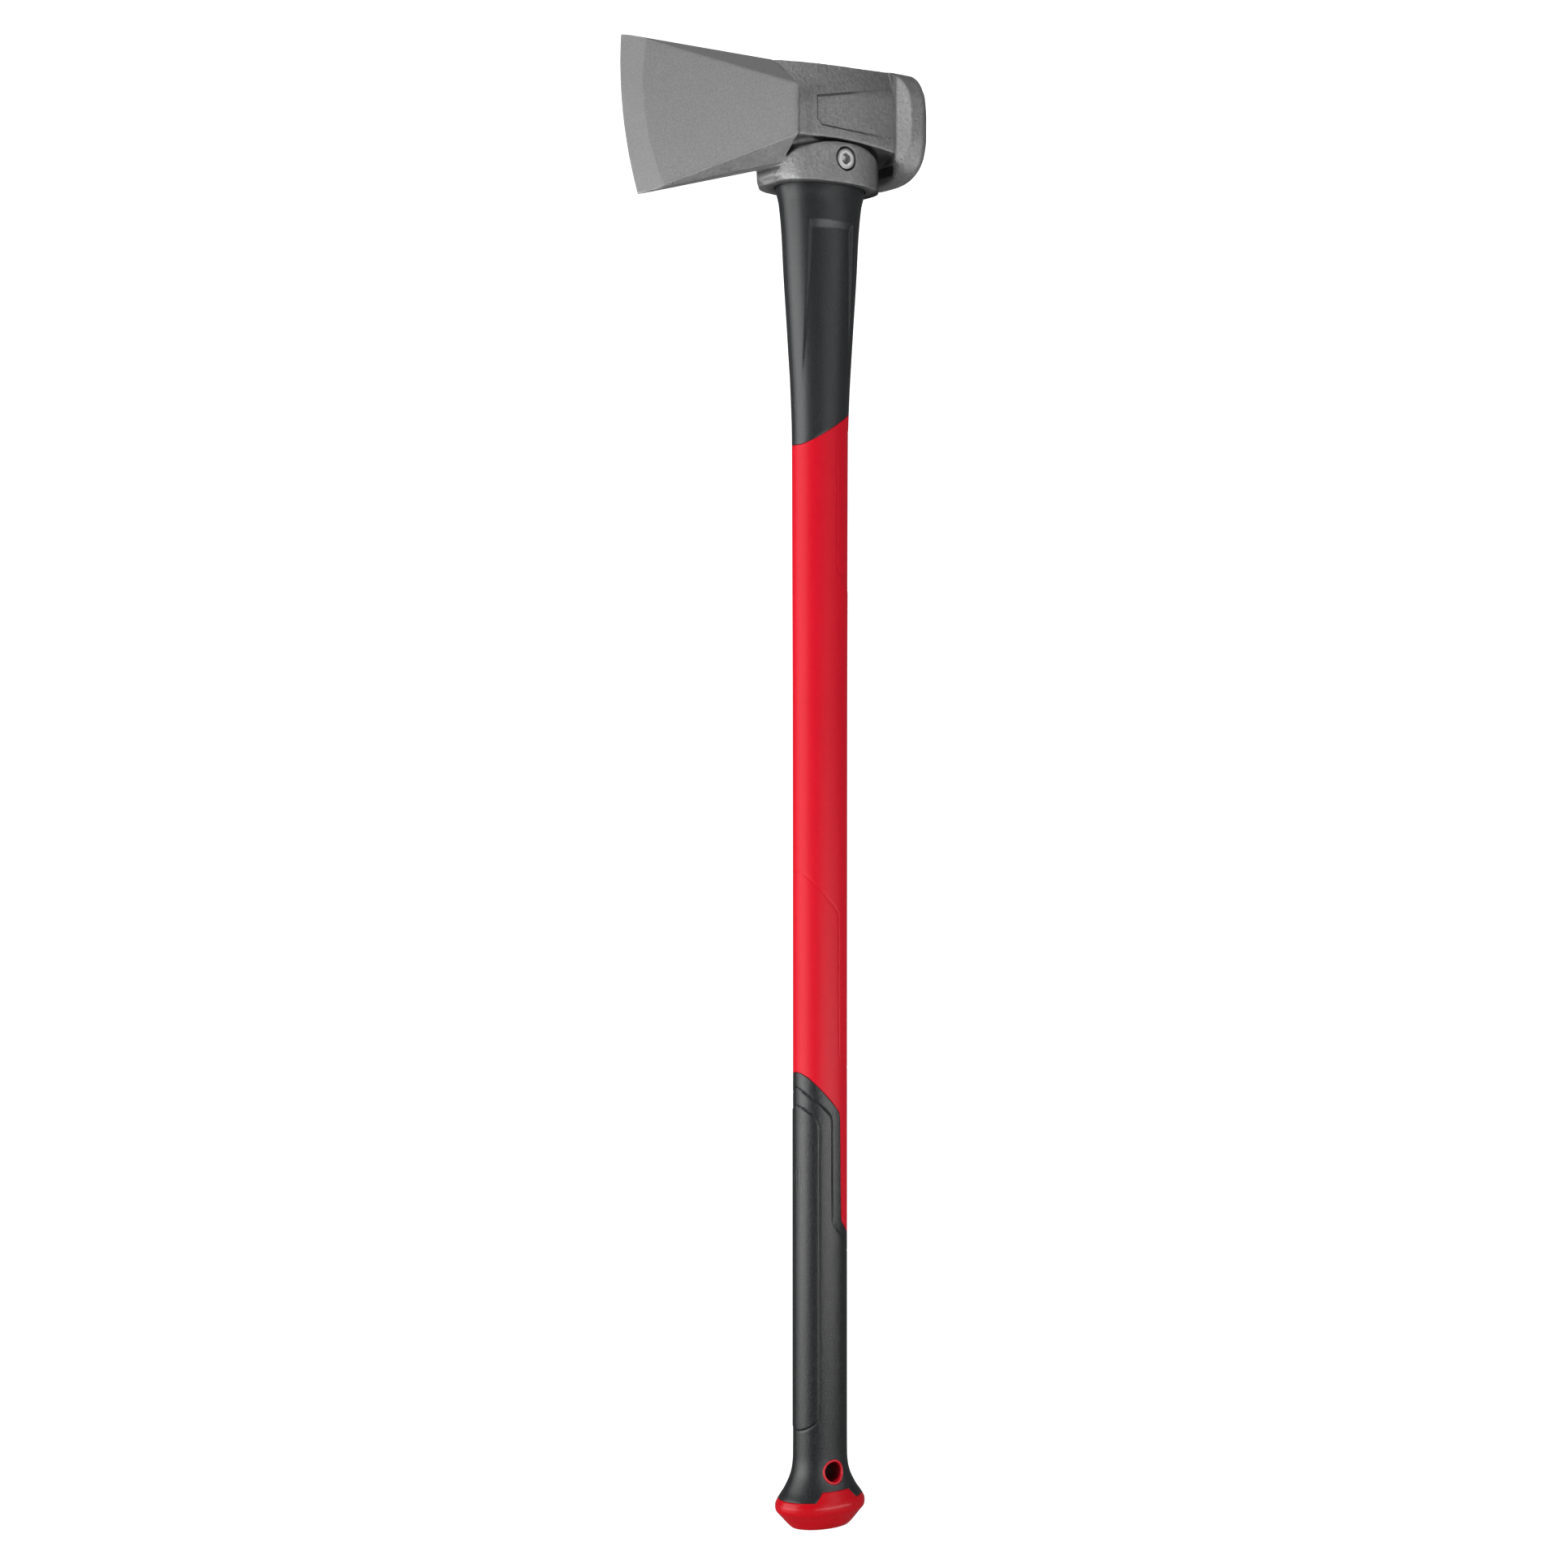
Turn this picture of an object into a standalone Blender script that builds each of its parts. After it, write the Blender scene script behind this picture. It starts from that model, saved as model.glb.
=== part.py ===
"""Splitting maul: an 8 lb forged wedge head on a 36 in fibreglass handle with moulded covers.

Frame: the origin is on the handle's axis at the flat end of the butt, +Z runs up the handle
to the head, the blade points to -X, the striking poll to +X, and the Y halves match.
Sizes below are in millimetres; the objects are made in metres.
"""

import math

import bmesh
import bpy
from mathutils import Vector

MM = 0.001
GAP = 0.3  # clearance between neighbouring pieces
ROUND = 48  # points round the handle's oval
SMALL_ROUND = 24  # points round the bolt, nut and bush
THROUGH = 90.0  # length of a cutter that goes right through

# Whole tool
TOP = 914.0  # top of the head, 36 in above the butt

# Wedge of the head
EDGE_CENTRE_X = 103.7  # centre and radius of the cutting edge's arc, in the XZ plane
EDGE_CENTRE_Z = 897.0
EDGE_RADIUS = 250.0
EDGE_STEPS = 8
BEVEL_HALF_ANGLE = 18.0
TOE_ANGLE = 176.0  # where the arc meets the top face, round its centre from +X towards -Z
HEEL_ANGLE = 198.2
WEDGE_REAR_X = -36.0
CHEEK_REAR_HALF = 28.6  # half thickness of the wedge at its rear
CHEEK_HALF_ANGLE = 14.0
HEEL = Vector((-134.2, 0.0, 819.2))
UNDERSIDE_SLOPE = 0.283  # rise of the wedge's underside towards the handle

# Eye, collar and poll of the head: (x, half width on top, half width of the ridges)
EYE_BLOCK_STATIONS = (
    (-44.0, 3.6, 20.0),
    (-32.0, 7.6, 23.6),
    (-20.0, 13.0, 26.0),
    (6.0, 17.4, 26.0),
    (30.0, 19.0, 26.0),
    (48.0, 19.6, 26.0),
)
UPPER_RIDGE_Z = 898.0
LOWER_RIDGE_Z = 865.0
BLOCK_FOOT_Z = 853.0
BLOCK_FOOT_HALF = 19.0
COLLAR_BOTTOM_Z = 838.0
# (z, middle in x, half length, half width) of the oval collar below the eye
COLLAR_OVALS = (
    (838.0, 0.0, 38.4, 26.9),
    (839.8, 0.0, 40.0, 28.5),
    (857.5, -0.8, 40.8, 28.5),
    (861.5, -0.8, 39.4, 27.0),
    (864.5, -0.8, 34.0, 21.0),
)
COLLAR_POWER = 2.25  # superellipse power of the collar's outline
POLL_CENTRE_Z = 880.6
POLL_POWER = 2.6
# (x, half size) of the poll: neck, flange, then the chamfer round the striking face
POLL_STATIONS = (
    (24.0, 21.0),
    (37.0, 25.5),
    (41.5, 28.2),
    (45.0, 32.0),
    (47.0, 34.2),
    (48.5, 34.6),
    (56.0, 34.6),
    (61.5, 30.2),
)

# Plate pocket on each side of the eye: its outline in x and z, and how far in its floor lies
PLATE_OUTLINE = ((-20.0, 890.0), (-20.0, 877.5), (-15.0, 872.6), (34.0, 871.0), (34.0, 900.5))
PLATE_FLOOR_HALF = 25.0

# Eye bore, tapered, with a socket for the neck guard at the collar
EYE_BOTTOM = (24.5, 15.0)
EYE_TOP = (23.0, 13.2)
SOCKET_OVAL = (31.0, 23.1)
SOCKET_TOP_Z = 843.5

# Fibreglass core, with resin round it in the eye
CORE_OVAL = (14.2, 10.2)
CORE_BOTTOM_Z = 50.0
CORE_TOP_Z = 909.0
RESIN_TOP_Z = 911.0

# Outer skin of the handle: (z, half length in x, half width in y)
HANDLE_SKIN = (
    (0.0, 18.6, 12.8),
    (1.6, 22.0, 15.3),
    (4.9, 25.6, 18.0),
    (8.0, 28.6, 20.3),
    (10.6, 30.4, 21.8),
    (14.0, 30.8, 22.2),
    (17.0, 29.7, 21.5),
    (20.2, 27.7, 20.1),
    (23.4, 25.2, 18.6),
    (26.4, 23.4, 17.5),
    (29.4, 21.6, 16.3),
    (32.4, 20.4, 15.6),
    (36.0, 19.3, 14.9),
    (41.6, 18.5, 14.4),
    (60.0, 18.3, 14.2),
    (230.0, 18.3, 14.2),
    (509.0, 18.5, 14.4),
    (600.0, 18.8, 14.6),
    (682.0, 19.1, 14.8),
    (703.0, 19.6, 15.2),
    (723.0, 21.0, 16.2),
    (744.0, 22.1, 16.9),
    (764.0, 23.9, 18.1),
    (785.0, 25.0, 18.8),
    (805.0, 26.1, 19.5),
    (825.0, 27.8, 20.6),
    (838.0, 30.4, 22.5),
)
CAP_WIDEST = 5  # entry of the skin where the butt is widest
GRIP_FLARE_Z = 26.4  # foot of the grip's straight part
GRIP_CLEAR_DEGREES = 1.5  # gap beside the grip's edge, round the handle
COVER_THICKNESS = 2.3  # of the grip over the jacket
JACKET_TONGUE = (16.2, 12.2)  # oval of the jacket inside the neck guard
JACKET_FOOT_Z = 15.0
GUARD_EDGE_Z = 686.5  # the guard's lower edge slopes up towards the poll's side
GUARD_EDGE_RISE = 8.5
SPIGOT_OVAL = (11.0, 7.0)  # peg of the butt cap, in a pocket of the jacket
SPIGOT_TOP_Z = 24.0

# Lanyard hole across the butt
LANYARD_Z = 35.5
BUSH_OUTER_RADIUS = 7.6
BUSH_INNER_RADIUS = 6.2
BUSH_HALF_LENGTH = 15.4

# M8 bolt across the collar
BOLT_Z = 853.2
BOLT_RADIUS = 4.0
BOLT_HEAD_RADIUS = 6.5
BOLT_HEAD_FACE_Y = -28.0
BOLT_SEAT_Y = -20.0
BOLT_TIP_Y = 28.0
BOLT_KEY_ACROSS = 6.0
BOLT_KEY_DEPTH = 4.2
HEAD_BORE_RADIUS = 7.6
WALL_HOLE_RADIUS = 4.6
CRUSH_OUTER_RADIUS = 6.0
CRUSH_HALF_LENGTH = 8.9
NUT_BORE_RADIUS = 8.8
NUT_SEAT_Y = 18.2
WASHER_THICKNESS = 1.6
WASHER_RADIUS = 7.8
NUT_ACROSS = 13.0
NUT_HEX_HEIGHT = 5.5
NUT_HEIGHT = 7.9
NUT_COLLAR_RADIUS = 6.3
NUT_COLLAR_BORE = 5.7
INSERT_HEIGHT = 1.8


def oval(half_x, half_y, z, middle_x=0.0, power=2.0, count=ROUND):
    """Points of a level superellipse; its height may be a number or follow the angle."""
    points = []
    for step in range(count):
        angle = 2 * math.pi * step / count
        cosine = math.cos(angle)
        sine = math.sin(angle)
        x = half_x * math.copysign(abs(cosine) ** (2 / power), cosine)
        y = half_y * math.copysign(abs(sine) ** (2 / power), sine)
        height = z(cosine) if callable(z) else z
        points.append(Vector((middle_x + x, y, height)))
    return points


def skin_oval(z):
    """Half axes of the handle's outer skin at a height."""
    for (low, low_x, low_y), (high, high_x, high_y) in zip(HANDLE_SKIN, HANDLE_SKIN[1:]):
        if z <= high:
            part = (z - low) / (high - low)
            return low_x + part * (high_x - low_x), low_y + part * (high_y - low_y)
    return HANDLE_SKIN[-1][1:]


def skin_ring(z, inset=0.0):
    """A ring on the handle's skin, or inset below it; the height may follow the angle."""
    points = []
    for step in range(ROUND):
        angle = 2 * math.pi * step / ROUND
        height = z(math.cos(angle)) if callable(z) else z
        half_x, half_y = skin_oval(height)
        x = (half_x - inset) * math.cos(angle)
        y = (half_y - inset) * math.sin(angle)
        points.append(Vector((x, y, height)))
    return points


def skin_rings(low, high, inset=0.0):
    """Rings at the skin's own heights that lie clear between two levels."""
    return [skin_ring(z, inset) for z, _, _ in HANDLE_SKIN if low + 1.0 < z < high - 1.0]


def rings_between(low, high, inset=0.0, steps=3):
    """Rings from one edge up to another, both included; either may be a number or follow the angle."""

    def at(part):
        def height(cosine):
            ends = [edge(cosine) if callable(edge) else edge for edge in (low, high)]
            return ends[0] + part * (ends[1] - ends[0])

        return height

    return [skin_ring(at(step / steps), inset) for step in range(steps + 1)]


def new_object(name, bm, material, sharp_degrees=35.0):
    mesh = bpy.data.meshes.new(name)
    bmesh.ops.recalc_face_normals(bm, faces=bm.faces)
    bm.to_mesh(mesh)
    bm.free()
    mesh.shade_smooth()
    mesh.set_sharp_from_angle(angle=math.radians(sharp_degrees))
    if material:
        mesh.materials.append(material)
    made = bpy.data.objects.new(name, mesh)
    bpy.context.collection.objects.link(made)
    return made


def add_rings(bm, rings, closed):
    """Skin a row of rings. Closed joins the last to the first; otherwise both ends get caps."""
    rows = [[bm.verts.new(point * MM) for point in ring] for ring in rings]
    pairs = list(zip(rows, rows[1:]))
    if closed:
        pairs.append((rows[-1], rows[0]))
    for low, high in pairs:
        for step in range(len(low)):
            after = (step + 1) % len(low)
            bm.faces.new((low[step], low[after], high[after], high[step]))
    if not closed:
        bm.faces.new(rows[0])
        bm.faces.new(rows[-1])


def loft(name, rings, material=None, closed=False):
    bm = bmesh.new()
    add_rings(bm, rings, closed)
    return new_object(name, bm, material)


def turned(name, profile, z, material=None, count=SMALL_ROUND):
    """A ring or rod turned round an axis along Y: profile holds (y, radius) pairs.

    A hollow piece's profile ends where it began, so its rings join up.
    """
    closed = profile[0] == profile[-1]
    rings = []
    for y, radius in profile[:-1] if closed else profile:
        ring = []
        for step in range(count):
            angle = 2 * math.pi * step / count
            ring.append(Vector((radius * math.cos(angle), y, z + radius * math.sin(angle))))
        rings.append(ring)
    return loft(name, rings, material, closed)


def hexagon(name, across, low_y, high_y, z, material=None):
    radius = across / math.sqrt(3)
    return turned(name, ((low_y, radius), (high_y, radius)), z, material, count=6)


def helper(made):
    """Mark a shape that only cuts or joins."""
    made.hide_render = True
    made.display_type = "WIRE"
    return made


def combine(target, other, operation):
    modifier = target.modifiers.new(other.name, "BOOLEAN")
    modifier.operation = operation
    modifier.solver = "EXACT"
    modifier.object = helper(other)


def convex(name, low, high, planes):
    """A box cut down by planes, each a point and an outward normal."""
    bm = bmesh.new()
    bmesh.ops.create_cube(bm, size=1.0)
    for vert in bm.verts:
        vert.co = Vector((low[i] if vert.co[i] < 0 else high[i] for i in range(3)))
    for point, normal in planes:
        everything = bm.verts[:] + bm.edges[:] + bm.faces[:]
        cut = {"plane_co": point, "plane_no": normal, "clear_outer": True}
        bmesh.ops.bisect_plane(bm, geom=everything, **cut)
        bmesh.ops.holes_fill(bm, edges=[edge for edge in bm.edges if edge.is_boundary], sides=0)
    bmesh.ops.scale(bm, vec=(MM, MM, MM), verts=bm.verts)
    return new_object(name, bm, None)


def material(name, colour, roughness, metallic=0.0):
    made = bpy.data.materials.new(name)
    made.use_nodes = True
    shader = made.node_tree.nodes["Principled BSDF"]
    shader.inputs["Base Color"].default_value = (*colour, 1.0)
    shader.inputs["Roughness"].default_value = roughness
    shader.inputs["Metallic"].default_value = metallic
    return made


def edge_point(angle_degrees):
    """A point of the cutting edge, by its angle round the arc's centre."""
    angle = math.radians(angle_degrees)
    x = EDGE_CENTRE_X + EDGE_RADIUS * math.cos(angle)
    z = EDGE_CENTRE_Z + EDGE_RADIUS * math.sin(angle)
    return Vector((x, 0.0, z))


def wedge_planes():
    """Faces of the wedge: ground bevels along the edge, flat cheeks, top and bottom chamfers."""
    planes = []
    lean = math.radians(BEVEL_HALF_ANGLE)
    cheek = math.radians(CHEEK_HALF_ANGLE)
    for side in (-1, 1):
        for step in range(EDGE_STEPS):
            angle = TOE_ANGLE + (HEEL_ANGLE - TOE_ANGLE) * (step + 0.5) / EDGE_STEPS
            out = Vector((math.cos(math.radians(angle)), 0.0, math.sin(math.radians(angle))))
            normal = out * math.sin(lean) + Vector((0.0, side * math.cos(lean), 0.0))
            planes.append((edge_point(angle), normal))
        cheek_point = Vector((WEDGE_REAR_X, side * CHEEK_REAR_HALF, 880.0))
        planes.append((cheek_point, Vector((-math.sin(cheek), side * math.cos(cheek), 0.0))))
        rear = Vector((WEDGE_REAR_X, side * CHEEK_REAR_HALF, 893.0))
        front = Vector((-105.0, side * 11.4, 905.0))
        ridge = Vector((-42.0, side * 4.4, TOP))
        planes.append((rear, chamfer_normal(rear, front, ridge)))
        rear = Vector((-38.0, side * 28.1, 863.0))
        front = Vector((-113.5, side * 9.3, 828.0))
        ridge = Vector((-47.0, side * 4.5, 844.0))
        planes.append((rear, chamfer_normal(rear, front, ridge)))
    planes.append((HEEL, Vector((UNDERSIDE_SLOPE, 0.0, -1.0)).normalized()))
    planes.append((Vector((-39.5, 0.0, 862.0)), Vector((0.95, 0.0, -0.3)).normalized()))
    return planes


def chamfer_normal(rear, front, ridge):
    """Normal of the plane through three points, turned away from the middle of the wedge."""
    normal = (front - rear).cross(ridge - rear).normalized()
    inside = Vector((-60.0, 0.0, 870.0))
    return normal if normal.dot(rear - inside) > 0 else -normal


def eye_block_rings():
    rings = []
    for x, top_half, ridge_half in EYE_BLOCK_STATIONS:
        foot_half = min(BLOCK_FOOT_HALF, ridge_half - 5.0)
        right = (
            Vector((x, top_half, TOP)),
            Vector((x, ridge_half, UPPER_RIDGE_Z)),
            Vector((x, ridge_half, LOWER_RIDGE_Z)),
            Vector((x, foot_half, BLOCK_FOOT_Z)),
        )
        left = [Vector((point.x, -point.y, point.z)) for point in reversed(right)]
        rings.append([*right, *left])
    return rings


def poll_rings():
    rings = []
    for x, half in POLL_STATIONS:
        ring = []
        for point in oval(half, half, 0.0, power=POLL_POWER, count=40):
            ring.append(Vector((x, point.x, min(TOP, POLL_CENTRE_Z + point.y))))
        rings.append(ring)
    return rings


def plate_cutter(side):
    rings = []
    for y in (side * PLATE_FLOOR_HALF, side * (CHEEK_REAR_HALF + 4.0)):
        rings.append([Vector((x, y, z)) for x, z in PLATE_OUTLINE])
    return loft("plate_cutter", rings)


def eye_at(z, inset=0.0):
    """Half axes of the tapered eye bore at a height, less an inset."""
    part = (z - SOCKET_TOP_Z) / (TOP - SOCKET_TOP_Z)
    return tuple(low + part * (high - low) - inset for low, high in zip(EYE_BOTTOM, EYE_TOP))


def make_head(steel):
    """The forging: wedge, eye block, collar and poll in one piece, with its eye and bolt bores."""
    low = Vector((-170.0, -45.0, 800.0))
    high = Vector((WEDGE_REAR_X, 45.0, TOP))
    head = convex("maul_head", low, high, wedge_planes())
    head.data.materials.append(steel)
    combine(head, loft("eye_block", eye_block_rings()), "UNION")
    collar_rings = [oval(x, y, z, middle, COLLAR_POWER) for z, middle, x, y in COLLAR_OVALS]
    combine(head, loft("collar", collar_rings), "UNION")
    combine(head, loft("poll", poll_rings()), "UNION")
    for side in (-1, 1):
        combine(head, plate_cutter(side), "DIFFERENCE")
    bore = [oval(*eye_at(z), z) for z in (SOCKET_TOP_Z - 3.0, TOP + 2.0)]
    combine(head, loft("eye_cutter", bore), "DIFFERENCE")
    socket = [oval(*SOCKET_OVAL, z) for z in (COLLAR_BOTTOM_Z - 2.0, SOCKET_TOP_Z)]
    combine(head, loft("socket_cutter", socket), "DIFFERENCE")
    outside = CHEEK_REAR_HALF + 6.0
    head_bore = rod("head_bore_cutter", HEAD_BORE_RADIUS, -outside, BOLT_SEAT_Y, BOLT_Z)
    nut_bore = rod("nut_bore_cutter", NUT_BORE_RADIUS, NUT_SEAT_Y, outside, BOLT_Z)
    wall_hole = through_rod("wall_hole_cutter", WALL_HOLE_RADIUS, BOLT_Z)
    for cutter in (head_bore, nut_bore, wall_hole):
        combine(head, cutter, "DIFFERENCE")


def rod(name, radius, low_y, high_y, z):
    return turned(name, ((low_y, radius), (high_y, radius)), z)


def through_rod(name, radius, z):
    return rod(name, radius, -THROUGH / 2, THROUGH / 2, z)


def make_core(glass):
    """Pultruded fibreglass rod, drilled for the crush sleeve."""
    rings = [oval(*CORE_OVAL, z) for z in (CORE_BOTTOM_Z, CORE_TOP_Z)]
    core = loft("fibreglass_core", rings, glass)
    combine(core, through_rod("crush_hole_cutter", CRUSH_OUTER_RADIUS + GAP, BOLT_Z), "DIFFERENCE")


def make_resin(resin):
    """Cast resin that locks the core in the eye."""
    inner = [half + GAP for half in CORE_OVAL]
    foot = SOCKET_TOP_Z + GAP
    rings = [oval(*eye_at(z, GAP), z) for z in (foot, RESIN_TOP_Z)]
    rings += [oval(*inner, z) for z in (RESIN_TOP_Z, foot)]
    ring = loft("eye_resin", rings, resin, closed=True)
    combine(ring, through_rod("resin_hole_cutter", WALL_HOLE_RADIUS, BOLT_Z), "DIFFERENCE")


def guard_edge(cosine):
    """Height of the neck guard's lower edge round the handle."""
    return GUARD_EDGE_Z + GUARD_EDGE_RISE * cosine


def grip_edge(cosine, clear_degrees=0.0):
    """Height of the grip's upper edge: high over the fingers' side, low behind."""
    from_front = math.degrees(math.acos(max(-1.0, min(1.0, -cosine)))) - clear_degrees
    if from_front <= 104.0:
        return 284.0 - 24.0 * (from_front / 104.0) ** 2
    if from_front <= 112.0:
        return 260.0 - 70.0 * (from_front - 104.0) / 8.0
    return 190.0 - 12.0 * (from_front - 112.0) / 68.0


def above_grip(cosine):
    """The jacket's edge over the grip's, clear of it also where the edge runs along the handle."""
    return grip_edge(cosine, GRIP_CLEAR_DEGREES) + GAP


def cap_edge(cosine):
    """Height of the butt cap's rim, with a tab on each flat side."""
    across = abs(cosine) * 28.0
    if across <= 13.5:
        return 23.5
    if across <= 18.0:
        return 23.5 - 7.0 * (across - 13.5) / 4.5
    return 16.5 + 2.0 * (across - 18.0) / 10.0


def lowered(edge, drop):
    return lambda cosine: edge(cosine) - drop


def make_guard(soft):
    """Overstrike guard: a thick sleeve from the collar's socket down the neck of the handle."""
    high = SOCKET_TOP_Z - GAP
    skin = skin_oval(COLLAR_BOTTOM_Z)
    outer = [skin_ring(guard_edge)]
    outer += skin_rings(GUARD_EDGE_Z + GUARD_EDGE_RISE, TOP)
    outer += [oval(*skin, high)]
    inner = [half + GAP for half in JACKET_TONGUE]
    loft("neck_guard", outer + [oval(*inner, high), oval(*inner, guard_edge)], soft, closed=True)


def make_jacket(red):
    """Moulded jacket over the core, set in where the guard and the grip cover it."""
    pocket = [half + GAP for half in SPIGOT_OVAL]
    grip_low = skin_rings(JACKET_FOOT_Z, 170.0, COVER_THICKNESS + GAP)
    outer = [oval(*pocket, SPIGOT_TOP_Z + GAP), oval(*pocket, JACKET_FOOT_Z)]
    outer += [skin_ring(JACKET_FOOT_Z, COVER_THICKNESS + GAP), *grip_low]
    outer += [skin_ring(above_grip, COVER_THICKNESS + GAP), skin_ring(above_grip)]
    outer += skin_rings(300.0, GUARD_EDGE_Z - GUARD_EDGE_RISE)
    below_guard = lowered(guard_edge, GAP)
    outer += [skin_ring(below_guard), oval(*JACKET_TONGUE, below_guard)]
    high = SOCKET_TOP_Z - GAP
    bore = [half + GAP for half in CORE_OVAL]
    bore_foot = CORE_BOTTOM_Z - GAP
    outer += [oval(*JACKET_TONGUE, high), oval(*bore, high), oval(*bore, bore_foot)]
    jacket = loft("handle_jacket", outer, red)
    hole = through_rod("jacket_hole_cutter", BUSH_OUTER_RADIUS + GAP, LANYARD_Z)
    combine(jacket, hole, "DIFFERENCE")


def make_grip(soft):
    """Soft grip moulded over the jacket's lower end."""
    foot = lowered(cap_edge, -GAP)
    walls = []
    for inset in (0.0, COVER_THICKNESS):
        wall = rings_between(foot, GRIP_FLARE_Z, inset)
        walls.append([*wall, *skin_rings(GRIP_FLARE_Z, 177.0, inset), skin_ring(grip_edge, inset)])
    grip = loft("grip_sleeve", walls[0] + walls[1][::-1], soft, closed=True)
    hole = through_rod("grip_hole_cutter", BUSH_OUTER_RADIUS + GAP, LANYARD_Z)
    combine(grip, hole, "DIFFERENCE")


def make_cap(gloss):
    """Butt cap: its rim laps the jacket's foot and its spigot plugs into the jacket."""
    floor = JACKET_FOOT_Z - GAP
    inset = COVER_THICKNESS
    widest = HANDLE_SKIN[CAP_WIDEST][0]
    rings = [skin_ring(z) for z, _, _ in HANDLE_SKIN[:CAP_WIDEST]]
    rings += rings_between(widest, cap_edge)
    rings += rings_between(floor, cap_edge, inset)[::-1]
    rings += [oval(*SPIGOT_OVAL, floor), oval(*SPIGOT_OVAL, SPIGOT_TOP_Z)]
    loft("butt_cap", rings, gloss)


def make_bush(red):
    """Lining of the lanyard hole, with softened mouths."""
    outer, inner, end = BUSH_OUTER_RADIUS, BUSH_INNER_RADIUS, BUSH_HALF_LENGTH
    profile = (
        (-end + 0.5, outer),
        (end - 0.5, outer),
        (end, outer - 0.5),
        (end, inner + 0.5),
        (end - 0.5, inner),
        (-end + 0.5, inner),
        (-end, inner + 0.5),
        (-end, outer - 0.5),
        (-end + 0.5, outer),
    )
    turned("lanyard_bush", profile, LANYARD_Z, red)


def make_bolt_set(steel, nylon):
    """Socket cap bolt, crush sleeve in the core, and a locking nut with its washer."""
    chamfer = 0.5
    profile = (
        (BOLT_HEAD_FACE_Y, BOLT_HEAD_RADIUS - chamfer),
        (BOLT_HEAD_FACE_Y + chamfer, BOLT_HEAD_RADIUS),
        (BOLT_SEAT_Y - GAP, BOLT_HEAD_RADIUS),
        (BOLT_SEAT_Y - GAP, BOLT_RADIUS),
        (BOLT_TIP_Y - 0.8, BOLT_RADIUS),
        (BOLT_TIP_Y, BOLT_RADIUS - 0.8),
    )
    bolt = turned("head_bolt", profile, BOLT_Z, steel)
    key_low = BOLT_HEAD_FACE_Y - 2.0
    key_floor = BOLT_HEAD_FACE_Y + BOLT_KEY_DEPTH
    key = hexagon("key_cutter", BOLT_KEY_ACROSS, key_low, key_floor, BOLT_Z)
    combine(bolt, key, "DIFFERENCE")

    inner = BOLT_RADIUS + GAP
    tube("crush_sleeve", CRUSH_OUTER_RADIUS, inner, -CRUSH_HALF_LENGTH, CRUSH_HALF_LENGTH, steel)
    washer_low = NUT_SEAT_Y + GAP / 2
    washer_high = washer_low + WASHER_THICKNESS
    tube("bolt_washer", WASHER_RADIUS, inner, washer_low, washer_high, steel)

    nut_low = washer_high + GAP / 2
    nut_top = nut_low + NUT_HEIGHT
    hex_top = nut_low + NUT_HEX_HEIGHT
    nut = hexagon("lock_nut", NUT_ACROSS, nut_low, hex_top, BOLT_Z, steel)
    combine(nut, rod("nut_collar", NUT_COLLAR_RADIUS, hex_top - 1.0, nut_top, BOLT_Z), "UNION")
    combine(nut, through_rod("nut_thread_cutter", inner, BOLT_Z), "DIFFERENCE")
    combine(nut, rod("insert_seat_cutter", NUT_COLLAR_BORE, hex_top, nut_top + 1.0, BOLT_Z), "DIFFERENCE")
    insert_low = hex_top + GAP
    insert_radius = NUT_COLLAR_BORE - GAP
    tube("nut_insert", insert_radius, inner, insert_low, insert_low + INSERT_HEIGHT, nylon)


def tube(name, outer, inner, low_y, high_y, made_of):
    profile = ((low_y, outer), (high_y, outer), (high_y, inner), (low_y, inner), (low_y, outer))
    turned(name, profile, BOLT_Z, made_of)


def main():
    for old in list(bpy.data.objects):
        bpy.data.objects.remove(old)
    forged = material("forged_steel", (0.22, 0.22, 0.22), 0.5, 0.85)
    bright = material("bright_steel", (0.62, 0.62, 0.62), 0.3, 1.0)
    red = material("red_jacket", (0.66, 0.01, 0.02), 0.4)
    gloss = material("gloss_red", (0.62, 0.008, 0.015), 0.15)
    soft = material("soft_charcoal", (0.035, 0.037, 0.04), 0.65)
    glass = material("fibreglass", (0.75, 0.68, 0.45), 0.5)
    resin = material("cast_resin", (0.35, 0.25, 0.1), 0.3)
    nylon = material("nylon_blue", (0.05, 0.12, 0.4), 0.5)
    make_head(forged)
    make_core(glass)
    make_resin(resin)
    make_guard(soft)
    make_jacket(red)
    make_grip(soft)
    make_cap(gloss)
    make_bush(red)
    make_bolt_set(bright, nylon)


main()
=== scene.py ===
"""Looks of the splitting maul: a forged head, moulded handle covers and bright fasteners.

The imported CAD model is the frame. Lengths here are in millimetres in the frame's own axes
(+Z up the handle, -X to the cutting edge) and become metres when a mesh is made.
"""

import bmesh
import bpy
import numpy as np
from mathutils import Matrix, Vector, noise


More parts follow.
